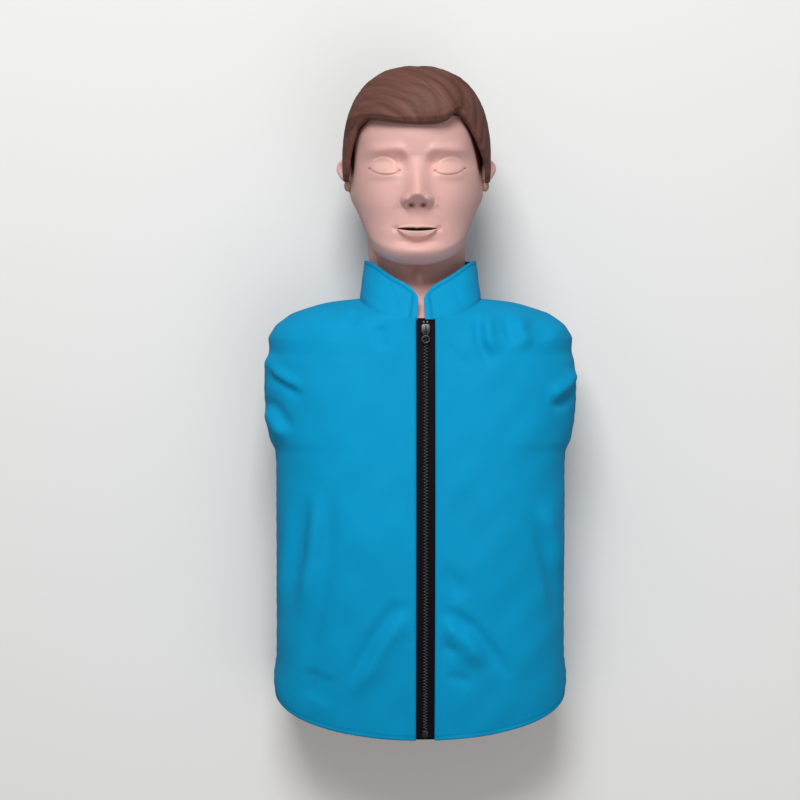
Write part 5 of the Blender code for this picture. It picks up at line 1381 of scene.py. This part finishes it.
def finish(tree, shader, colour, rough, height, distance, strength):
    """Feed a shader's colour, its roughness and, as a bump, the relief in its normal."""
    relief = put(tree, "ShaderNodeBump", Height=height, Distance=distance, Strength=strength)
    tree.links.new(colour, shader.inputs["Base Color"])
    tree.links.new(rough, shader.inputs["Roughness"])
    tree.links.new(relief.outputs["Normal"], shader.inputs["Normal"])


def tinted(tree, colour, amount):
    """Socket of a colour times a tone."""
    node = put(tree, "ShaderNodeVectorMath", {"operation": "SCALE"}, Scale=amount)
    node.inputs[0].default_value = colour[:3]
    return node.outputs[0]


def shade(colour, gain=1.0, lift=0.0):
    """A colour times a gain plus a lift, no channel over 1, with full opacity."""
    return (*(min(1.0, channel * gain + lift) for channel in colour[:3]), 1.0)


def on_piece(tree):
    """Socket of the place on the piece, in metres."""
    return tree.nodes.new("ShaderNodeTexCoord").outputs["Object"]


def attribute(tree, name):
    """Socket of one of the mesh's own values."""
    node = tree.nodes.new("ShaderNodeAttribute")
    node.attribute_name = name
    return node.outputs["Fac"]


def cloth_look(name, colour, pitch, stitch_pitch, sheen):
    """Woven cloth: threads in its bump, slubs and wear in its tone, stitches along the hem."""
    look, tree, shader = new_look(name, Sheen_Weight=sheen, Sheen_Roughness=0.5,
                                  Specular_IOR_Level=0.10)
    uv = put(tree, "ShaderNodeUVMap", {"uv_map": "cloth"}).outputs["UV"]
    place = on_piece(tree)
    weave = use_group(tree, "plain weave", UV=uv, Pitch=pitch)
    uneven = use_group(tree, "unevenness", Vector=place, Large=9.0, Small=160.0, Spread=0.22)
    tone = sums(tree, "MULTIPLY", weave.outputs["Tone"], uneven.outputs["Tone"])
    plain = tinted(tree, colour, tone)
    dash = put(tree, "ShaderNodeSeparateXYZ", Vector=uv).outputs[0]
    dash = sums(tree, "SINE", sums(tree, "MULTIPLY", dash, 2 * math.pi / stitch_pitch), 0.0)
    dash = sums(tree, "MULTIPLY_ADD", dash, 0.3, 0.5)
    seam = sums(tree, "MULTIPLY", attribute(tree, "hem"), dash)
    mixed = blend_colours(tree, seam, plain, shade(colour, 0.45))
    rough = sums(tree, "MULTIPLY_ADD", uneven.outputs["Mask"], 0.16, 0.62)
    height = sums(tree, "MULTIPLY_ADD", uneven.outputs["Height"], 0.6, weave.outputs["Height"])
    finish(tree, shader, mixed, rough, height, 0.00012, 0.7)
    return look


def skin_look(name, colour, pale_colour, painted_shade_colour):
    """Soft vinyl skin: faint blotches, fine pores, paler lids and lips that are partly painted
    highlight, and painted shade in the openings.
    """
    look, tree, shader = new_look(name, Subsurface_Weight=0.30, Subsurface_Scale=0.006,
                                  Specular_IOR_Level=0.35)
    place = on_piece(tree)
    uneven = use_group(tree, "unevenness", Vector=place, Large=16.0, Small=900.0, Spread=0.10)
    blotch = put(tree, "ShaderNodeTexNoise", Vector=place, Scale=34.0, Detail=3.0)
    rosy = put(tree, "ShaderNodeMapRange", {"clamp": True}, Value=blotch.outputs["Fac"],
               From_Min=0.45, From_Max=0.75, To_Min=0.0, To_Max=0.22)
    plain = tinted(tree, colour, uneven.outputs["Tone"])
    warm = (colour[0], colour[1] * 0.88, colour[2] * 0.88, 1.0)
    mixed = blend_colours(tree, rosy.outputs[0], plain, warm)
    # Paler lids and lips: partly their own yellower tone, partly painted highlight.
    mixed = blend_colours(tree, sums(tree, "MULTIPLY", attribute(tree, "pale"), 0.75), mixed,
                          shade(pale_colour))
    mixed = blend_colours(tree, attribute(tree, "line"), mixed,
                          (colour[0] * 0.6, colour[1] * 0.45, colour[2] * 0.42, 1.0))
    # Painted shade in the nostrils, the eyes' corners and the gap under the hair.
    mixed = blend_colours(tree, attribute(tree, "painted_shade"), mixed, shade(painted_shade_colour))
    rough = sums(tree, "MULTIPLY_ADD", uneven.outputs["Mask"], 0.14, 0.40)
    finish(tree, shader, mixed, rough, uneven.outputs["Height"], 0.00009, 0.6)
    return look


def hair_look(name, colour, dark_colour):
    """Moulded hair: streaks along the strands in its colour, its gloss and its bump."""
    look, tree, shader = new_look(name, Specular_IOR_Level=0.3)
    uv = put(tree, "ShaderNodeUVMap", {"uv_map": "cloth"}).outputs["UV"]
    fine = put(tree, "ShaderNodeMapping", Vector=uv, Scale=(900.0, 22.0, 1.0))
    broad = put(tree, "ShaderNodeMapping", Vector=uv, Scale=(170.0, 9.0, 1.0))
    streak = put(tree, "ShaderNodeTexNoise", Vector=fine.outputs[0], Scale=1.0, Detail=3.0)
    lock = put(tree, "ShaderNodeTexNoise", Vector=broad.outputs[0], Scale=1.0, Detail=2.0)
    amount = sums(tree, "MULTIPLY_ADD", streak.outputs["Fac"], 0.28,
                  sums(tree, "MULTIPLY", lock.outputs["Fac"], 0.72))
    spread = put(tree, "ShaderNodeMapRange", {"clamp": True}, Value=amount, From_Min=0.28,
                 From_Max=0.72)
    mixed = blend_colours(tree, spread.outputs[0], shade(dark_colour), shade(colour))
    rough = sums(tree, "MULTIPLY_ADD", streak.outputs["Fac"], 0.2, 0.50)
    finish(tree, shader, mixed, rough, streak.outputs["Fac"], 0.00035, 0.5)
    return look


def plastic_look(name, colour, roughness, grain, wear=0.0, metallic=0.0, alpha=1.0):
    """Moulded plastic or painted metal: faint mottling, fine grain and rubbed edges."""
    look, tree, shader = new_look(name, Metallic=metallic, Alpha=alpha)
    place = on_piece(tree)
    uneven = use_group(tree, "unevenness", Vector=place, Large=30.0, Small=grain, Spread=0.12)
    worn = use_group(tree, "edge wear", Vector=place, Amount=wear)
    plain = tinted(tree, colour, uneven.outputs["Tone"])
    mixed = blend_colours(tree, worn.outputs["Mask"], plain, shade(colour, 1.5, 0.10))
    rough = sums(tree, "MULTIPLY_ADD", uneven.outputs["Mask"], 0.16, roughness - 0.08)
    finish(tree, shader, mixed, rough, uneven.outputs["Height"], 0.00005, 0.5)
    return look


def steel_look(name, colour):
    """Drawn steel: fine lines along its length and slow changes of gloss."""
    look, tree, shader = new_look(name, Metallic=1.0)
    place = on_piece(tree)
    lines = put(tree, "ShaderNodeMapping", Vector=place, Scale=(60.0, 2500.0, 2500.0))
    scratch = put(tree, "ShaderNodeTexNoise", Vector=lines.outputs[0], Scale=1.0, Detail=2.0)
    uneven = use_group(tree, "unevenness", Vector=place, Large=40.0, Small=500.0, Spread=0.15)
    plain = tinted(tree, colour, uneven.outputs["Tone"])
    rough = sums(tree, "MULTIPLY_ADD", scratch.outputs["Fac"], 0.2, 0.2)
    finish(tree, shader, plain, rough, scratch.outputs["Fac"], 0.00004, 0.5)
    return look


def floor_look(name, colour):
    """Floor that the camera sees pale, and that throws less light back on the object."""
    look, tree, shader = new_look(name, Roughness=0.8, Specular_IOR_Level=0.1)
    uneven = use_group(tree, "unevenness", Vector=on_piece(tree), Large=1.5, Small=60.0,
                       Spread=0.03)
    seen = tinted(tree, colour, uneven.outputs["Tone"])
    ray = tree.nodes.new("ShaderNodeLightPath").outputs["Is Camera Ray"]
    mixed = blend_colours(tree, ray, shade(colour, 0.35), seen)
    tree.links.new(mixed, shader.inputs["Base Color"])
    return look


# Settings that a user would change


def colour(label, words, value):
    """Colour property with its default."""
    return FloatVectorProperty(name=label, description=words, subtype="COLOR", size=3,
                               default=value, min=0.0, max=1.0)


def size(label, words, value):
    """Length property with its default, in metres."""
    return FloatProperty(name=label, description=words, default=value, min=0.0, precision=5,
                         subtype="DISTANCE", unit="LENGTH")


class ManikinClothSettings(bpy.types.PropertyGroup):
    """Colours and sizes of the jacket and the zip"""
    blue: colour("Jacket", "Colour of the jacket's cloth", (0.0, 0.303, 0.575))
    black: colour("Tape", "Colour of the zip's woven tape", (0.0030, 0.0030, 0.0055))
    thickness: size("Thickness", "Thickness of the cloth", 0.0012)
    hem_width: size("Hem", "Width of the stitched hem and of the collar's edge", 0.0052)
    thread_pitch: size("Thread pitch", "Distance between threads of the weave", 0.0005)
    stitch_pitch: size("Stitch pitch", "Length of one stitch and its gap", 0.0028)
    tooth_pitch: size("Tooth pitch", "Distance between teeth of one side of the zip", 0.0036)


class ManikinHeadSettings(bpy.types.PropertyGroup):
    """Colours of the skin, the shells and the hair, and the sizes of the hair's locks"""
    skin: colour("Skin", "Colour of the soft vinyl skin", (0.745, 0.437, 0.398))
    # The pale colour is partly the lids' and lips' own tone and partly painted highlight.
    pale: colour("Pale skin", "Colour of the lids and the lower lip", (0.75, 0.485, 0.405))
    # The colour of painted shade in the nostrils, the eyes' corners and the gap under the hair.
    painted_shade: colour("Openings", "Colour inside the nostrils", (0.10, 0.022, 0.018))
    shell: colour("Shell", "Colour of the hard shells", (0.60, 0.36, 0.31))
    peg: colour("Pegs", "Colour of the pegs that hold the mask", (0.58, 0.33, 0.21))
    hair: colour("Hair", "Light colour of the moulded hair", (0.185, 0.078, 0.058))
    hair_dark: colour("Dark hair", "Dark colour of the moulded hair", (0.095, 0.034, 0.025))
    lock_width: size("Lock width", "Distance between the hair's locks", 0.0145)
    lock_depth: size("Lock depth", "Depth of the grooves between locks", 0.0028)


class ManikinInnerSettings(bpy.types.PropertyGroup):
    """Colours of the zip's hard pieces and of what lies inside"""
    tooth: colour("Zip", "Colour of the zip's moulded teeth", (0.0060, 0.0060, 0.0075))
    pull: colour("Slider", "Colour of the slider and its pull", (0.05, 0.05, 0.055))
    white: colour("White parts", "Colour of the moulded inner parts", (0.74, 0.74, 0.71))
    steel: colour("Steel", "Colour of the spring, pins and screws", (0.56, 0.57, 0.58))
    bag: colour("Bag", "Colour of the clear bag and tube", (0.70, 0.73, 0.72))


class ManikinStageSettings(bpy.types.PropertyGroup):
    """Floor, camera and lights"""
    floor: colour("Floor", "Colour of the floor", (0.80, 0.80, 0.79))
    lens: FloatProperty(name="Lens", description="Focal length of the camera", default=80.6,
                        subtype="DISTANCE_CAMERA")
    height: size("Camera height", "Height of the camera over the floor", 2.192)
    key: FloatProperty(name="Key", description="Power of the main light", default=81.0,
                       unit="POWER")
    fill: FloatProperty(name="Fill", description="Power of the second light", default=12.0,
                        unit="POWER")


def look_of(name, make, *values):
    """Material of that name, made the first time it is asked for."""
    return bpy.data.materials.get(name) or make(name, *values)


def shared_groups():
    """Build the node groups once."""
    if "plain weave" not in bpy.data.node_groups:
        weave_group()
        unevenness_group()
        edge_wear_group()


def jacket_cloth(context):
    """Blue woven cloth of the jacket."""
    given = context.scene.manikin_cloth
    return look_of("jacket cloth", cloth_look, given.blue, given.thread_pitch,
                   given.stitch_pitch, JACKET_SHEEN)


def soft_skin(context):
    """Soft vinyl of the mask, the ears and the chest's cover."""
    given = context.scene.manikin_head
    return look_of("soft vinyl skin", skin_look, given.skin, given.pale, given.painted_shade)


def hard_shell(context):
    """Hard plastic of the skull, the neck and the back tray."""
    given = context.scene.manikin_head
    return look_of("hard shell", plastic_look, given.shell, 0.45, 500.0)


def white_plastic(context):
    """White plastic of the inner mouldings."""
    given = context.scene.manikin_inner
    return look_of("white moulding", plastic_look, given.white, 0.42, 450.0)


def bright_steel(context):
    """Steel of the pins, the screws and the spring."""
    return look_of("drawn steel", steel_look, context.scene.manikin_inner.steel)


def dress(look, *nodes):
    """Give CAD nodes that keep their shape a finished material."""
    for name in nodes:
        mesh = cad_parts[name].data
        mesh.materials.clear()
        mesh.materials.append(look)


class MANIKIN_OT_jacket(bpy.types.Operator):
    """Build the jacket's two fronts, its back and its collar"""
    bl_idname = "manikin.jacket"
    bl_label = "Jacket"

    def execute(self, context):
        given = context.scene.manikin_cloth
        look = jacket_cloth(context)
        stations = panel_stations(232, given.hem_width)
        seam = seam_angle(FRONT_SQUARENESS)
        for name, side in (("left", -1), ("right", 1)):
            zip_side = zip_edge_angle(stations, ZIP_X + side * ZIP_OPENING_HALF)
            far_side = np.full(len(stations), side * seam)
            low, high = (far_side, zip_side) if side < 0 else (zip_side, far_side)
            made = cloth_panel(f"jacket_panel_{name}", stations, between(low, high, 150), True,
                               given, look)
            settle(made, "torso", "jacket_blue", f"jacket_front_{name}")
            declare_cloth(made)
        seam = math.pi - seam_angle(BACK_SQUARENESS)
        rows = panel_stations(150, given.hem_width)
        angles = between(np.full(len(rows), seam), 2 * math.pi - seam, 170)
        made = cloth_panel("jacket_panel_back", rows, angles, False, given, look)
        settle(made, "torso", "jacket_blue", "jacket_back")
        declare_cloth(made)
        made = make_collar(given, look)
        settle(made, "torso", "jacket_blue", "collar")
        declare_cloth(made)
        return {"FINISHED"}


class MANIKIN_OT_zip(bpy.types.Operator):
    """Build the zip: woven tapes, rows of moulded teeth, stops, box, slider and ring pull"""
    bl_idname = "manikin.zip"
    bl_label = "Zip"

    def execute(self, context):
        given = context.scene.manikin_cloth
        inner = context.scene.manikin_inner
        tape = look_of("zip tape", cloth_look, given.black, TAPE_THREAD_PITCH,
                       given.stitch_pitch, 0.0)
        tooth = look_of("zip tooth", plastic_look, inner.tooth, 0.30, 900.0, 0.15)
        metal = look_of("zip metal", plastic_look, inner.pull, 0.32, 900.0, 0.9, 0.7)
        top = zip_travel(HEM_SIDE_Y + TRUNK_LENGTH - NECKLINE_LEAN) + TOP_INSET
        bottom = zip_travel(HEM_SIDE_Y - HEM_BOW) - BOTTOM_INSET
        slider = top + STOP_LENGTH + SLIDER_GAP + SLIDER_HALF_LENGTH
        starts = np.arange(slider - FIRST_TOOTH_BACK, bottom - LAST_TOOTH_BACK,
                           given.tooth_pitch)
        for name, side in (("left", -1), ("right", 1)):
            self.tape(name, side, np.linspace(top, bottom, 160), tape)
            self.row(name, side, starts + (0.0 if side < 0 else given.tooth_pitch / 2), tooth)
            self.stop(name, side, top, tooth)
        self.box(bottom, tooth)
        self.slider(slider, metal)
        return {"FINISHED"}

    def tape(self, name, side, travel, look):
        """Woven tape beside the zip's middle, and the cord along it that holds the teeth."""
        rows = 1 - (1 - np.linspace(0, 1, 200)) ** 1.25
        edges = sorted((ZIP_X + side * TAPE_GAP, ZIP_X + side * TAPE_HALF))
        angles = between(*(zip_edge_angle(rows, x) for x in edges), 13)
        grid = trunk_surface(rows, angles)
        grid = grid - outward(grid) * TAPE_SINK
        made = mesh_piece(f"zip_band_{name}", grid, quads(*grid.shape[:2]), look, lengths(grid),
                          {"hem": np.zeros(grid.shape[:2])})
        settle(thicken(made, TAPE_WALL), "torso", "tape_black", f"zip_tape_{name}")
        way = zip_point(ZIP_X + side * CORD_MIDDLE, travel, -CORD_SINK)
        settle(tube(f"zip_cord_{name}", way, CORD_RADIUS, look, 10), "torso", "tape_black")

    def row(self, name, side, starts, look):
        """Row of teeth along one side."""
        points, faces = teeth_points(side, starts)
        made = mesh_piece(f"zip_row_{name}", points, faces, look)
        merge_doubles(made)
        settle(made, "torso", "zip_black", f"zip_teeth_{name}")

    def stop(self, name, side, top, look):
        """Stop over the topmost tooth of one side."""
        near, far = sorted((side * STOP_NEAR, side * STOP_FAR))
        outline = ((near, 0.0), (far, 0.0), (far, STOP_LENGTH), (near, STOP_LENGTH))
        made = plate(f"zip_stop_{name}", outline, -CHAIN_SINK - TOOTH_DEPTH,
                     0.0002 - CHAIN_SINK / 2, look, 0.0005, top)
        settle(made, "torso", "zip_black", f"zip_top_stop_{name}")

    def box(self, bottom, look):
        """Box that holds both rows together at the hem, narrower at its foot."""
        wide, foot = BOX_HALF_WIDTH, BOX_FOOT_HALF_WIDTH
        outline = ((-foot, -BOX_LENGTH), (foot, -BOX_LENGTH), (wide, -BOX_SHOULDER), (wide, 0.0),
                   (-wide, 0.0), (-wide, -BOX_SHOULDER))
        made = plate("zip_end_box", outline, -CHAIN_SINK - TOOTH_DEPTH - BOX_WALL,
                     BOX_WALL - CHAIN_SINK, look, 0.0006, bottom)
        settle(made, "torso", "zip_black", "zip_bottom_box")

    def slider(self, travel, look):
        """Two shield-shaped plates, a wedge and a bridge, with the loop and ring that hang on it."""
        over = -CHAIN_SINK + SLIDER_GAP
        under = -CHAIN_SINK - TOOTH_DEPTH - SLIDER_GAP
        turn = np.linspace(0, 2 * np.pi, 40, endpoint=False)
        half = SLIDER_HALF_WIDTH - SLIDER_TAPER * np.sin(turn)
        shape = np.stack([squared(np.cos(turn), 0.55) * half,
                          squared(np.sin(turn), 0.55) * SLIDER_HALF_LENGTH], axis=1)
        upper = plate("zip_slider_top", shape, over, over + SLIDER_PLATE, look, 0.0004, travel)
        settle(upper, "zip_slider", "pull_black", "zip_slider")
        lower = plate("zip_slider_foot", shape, under - SLIDER_PLATE, under, look, 0.0004,
                      travel)
        settle(lower, "zip_slider", "pull_black")
        wedge = plate("zip_slider_wedge", ((-0.0014, -0.0053), (0.0014, -0.0053),
                                           (0.0005, -0.0026), (-0.0005, -0.0026)),
                      under - SLIDER_GAP, over + SLIDER_GAP, look, 0.0001, travel)
        settle(wedge, "zip_slider", "pull_black")
        arc = np.linspace(0, np.pi, 25)
        rise = over + 0.0010 + BRIDGE_RISE * np.abs(np.sin(arc)) ** 0.6
        way = zip_point(ZIP_X, travel - BRIDGE_HALF_LENGTH * np.cos(arc), rise)
        bridge = tube("zip_slider_bridge", way, BRIDGE_RADIUS, look, 12)
        settle(bridge, "zip_slider", "pull_black")
        axis = travel + PULL_AXIS
        level = over + SLIDER_PLATE + PULL_LIFT
        loop = zip_point(ZIP_X + LOOP_HALF_WIDTH * squared(np.cos(turn), 0.6),
                         axis + LOOP_HALF_LENGTH * (1 + squared(np.sin(turn), 0.6)), level)
        settle(tube("zip_pull_loop", loop, LOOP_RADIUS, look, 10, closed=True), "zip_pull",
               "pull_black", "zip_pull")
        ring = zip_point(ZIP_X + RING_HALF_WIDTH * np.cos(turn),
                         axis + RING_MIDDLE + RING_HALF_WIDTH * np.sin(turn), level)
        settle(tube("zip_pull_ring", ring, RING_RADIUS, look, 12, closed=True), "zip_pull",
               "pull_black")


class MANIKIN_OT_body(bpy.types.Operator):
    """Build the soft chest cover with the neck, and the tray that forms the back"""
    bl_idname = "manikin.body"
    bl_label = "Body"

    def execute(self, context):
        settle(make_skin("chest_cover", True, soft_skin(context)), "torso", "skin_pink",
               "chest_skin")
        settle(make_skin("back_tray", False, hard_shell(context)), "torso", "shell_tan",
               "torso_base")
        return {"FINISHED"}


class MANIKIN_OT_head(bpy.types.Operator):
    """Build the face, the hair, the skull with its ears, and the mask's pegs"""
    bl_idname = "manikin.head"
    bl_label = "Head"

    def execute(self, context):
        given = context.scene.manikin_head
        face = make_face(soft_skin(context))
        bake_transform(face)
        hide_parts("face_mask")
        hair = make_hair(given, look_of("moulded hair", hair_look, given.hair, given.hair_dark))
        settle(hair, "head", "hair_brown", "hair_piece")
        settle(make_skull(hard_shell(context)), "head", "shell_tan", "skull_shell")
        peg_look = look_of("peg rubber", plastic_look, given.peg, 0.42, 500.0)
        for name, side in (("left", -1), ("right", 1)):
            settle(make_ear(name, side, soft_skin(context)), "head", "shell_tan")
            settle(make_peg(name, side, peg_look), "head", "skin_pink", f"mask_peg_{name}")
        return {"FINISHED"}


class MANIKIN_OT_inner(bpy.types.Operator):
    """Finish the inner parts, which keep the shapes of their solids"""
    bl_idname = "manikin.inner"
    bl_label = "Inner parts"

    def execute(self, context):
        inner = context.scene.manikin_inner
        dress(white_plastic(context), "chest_plate", "spring_seat", "neck_saddle", "jaw")
        dress(bright_steel(context), "tilt_pin", "jaw_pin_left", "jaw_pin_right",
              *(f"seat_screw_{k}" for k in range(1, 5)))
        low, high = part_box("compression_spring")
        coil = make_coil(low, high, bright_steel(context))
        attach(coil, "torso")
        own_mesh(coil)
        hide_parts("compression_spring")
        dress(hard_shell(context), "neck")
        film = look_of("clear film", plastic_look, inner.bag, 0.25, 300.0, 0.0, 0.0, 0.7)
        dress(film, "lung_bag")
        hose = make_airway(film)
        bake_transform(hose)
        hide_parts("airway_tube")
        return {"FINISHED"}


class MANIKIN_OT_stage(bpy.types.Operator):
    """Set up the floor, the lights, the world and the camera"""
    bl_idname = "manikin.stage"
    bl_label = "Stage"

    def execute(self, context):
        given = context.scene.manikin_stage
        look = look_of("pale floor", floor_look, given.floor)
        reach = np.linspace(-FLOOR_REACH, FLOOR_REACH, 9)
        x, y = np.meshgrid(reach, reach)
        grid = np.stack([x, y, np.full_like(x, -FLOOR_DROP)], axis=2)
        mesh_piece("floor", grid, quads(*x.shape), look)
        self.lamp(context, "key light", KEY_PLACE, KEY_WIDTH, given.key)
        self.lamp(context, "fill light", FILL_PLACE, FILL_WIDTH, given.fill)
        world = bpy.data.worlds.new("soft world")
        world.use_nodes = True
        light = world.node_tree.nodes["Background"].inputs
        light["Color"].default_value = (1, 1, 1, 1)
        light["Strength"].default_value = WORLD_STRENGTH
        context.scene.world = world
        lens = bpy.data.cameras.new("camera")
        lens.lens = given.lens
        lens.sensor_width = SENSOR_WIDTH
        camera = bpy.data.objects.new("camera", lens)
        camera.location = (CAMERA_X, CAMERA_Y, given.height)
        context.scene.collection.objects.link(camera)
        context.scene.camera = camera
        context.scene.view_settings.view_transform = "Standard"
        return {"FINISHED"}

    def lamp(self, context, name, place, width, power):
        """Square area light that faces the middle of the object."""
        light = bpy.data.lights.new(name, "AREA")
        light.size = width
        light.energy = power
        made = bpy.data.objects.new(name, light)
        made.location = place
        made.rotation_euler = (-Vector(place)).to_track_quat("-Z", "Y").to_euler()
        context.scene.collection.objects.link(made)


class MANIKIN_PT_panel(bpy.types.Panel):
    """Buttons for each piece, with the settings they use"""
    bl_label = "Manikin"
    bl_idname = "MANIKIN_PT_panel"
    bl_space_type = "VIEW_3D"
    bl_region_type = "UI"
    bl_category = "Manikin"

    def draw(self, context):
        for step in OPERATORS:
            self.layout.operator(step.bl_idname)
        for given in (context.scene.manikin_cloth, context.scene.manikin_head,
                      context.scene.manikin_inner, context.scene.manikin_stage):
            box = self.layout.box()
            for name in given.__annotations__:
                box.prop(given, name)


SETTINGS = (("manikin_cloth", ManikinClothSettings), ("manikin_head", ManikinHeadSettings),
            ("manikin_inner", ManikinInnerSettings), ("manikin_stage", ManikinStageSettings))
OPERATORS = (MANIKIN_OT_jacket, MANIKIN_OT_zip, MANIKIN_OT_body, MANIKIN_OT_head,
             MANIKIN_OT_inner, MANIKIN_OT_stage)


def register():
    """Register the settings, the operators and the panel."""
    for name, kind in SETTINGS:
        bpy.utils.register_class(kind)
        setattr(bpy.types.Scene, name, PointerProperty(type=kind))
    for kind in (*OPERATORS, MANIKIN_PT_panel):
        bpy.utils.register_class(kind)


def unregister():
    """Take away what register added, in the opposite order."""
    for kind in reversed((*OPERATORS, MANIKIN_PT_panel)):
        bpy.utils.unregister_class(kind)
    for name, kind in reversed(SETTINGS):
        delattr(bpy.types.Scene, name)
        bpy.utils.unregister_class(kind)


def main():
    """Register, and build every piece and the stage."""
    register()
    shared_groups()
    bpy.ops.manikin.jacket()
    bpy.ops.manikin.zip()
    bpy.ops.manikin.body()
    bpy.ops.manikin.head()
    bpy.ops.manikin.inner()
    bpy.ops.manikin.stage()


if __name__ == "__main__":
    main()
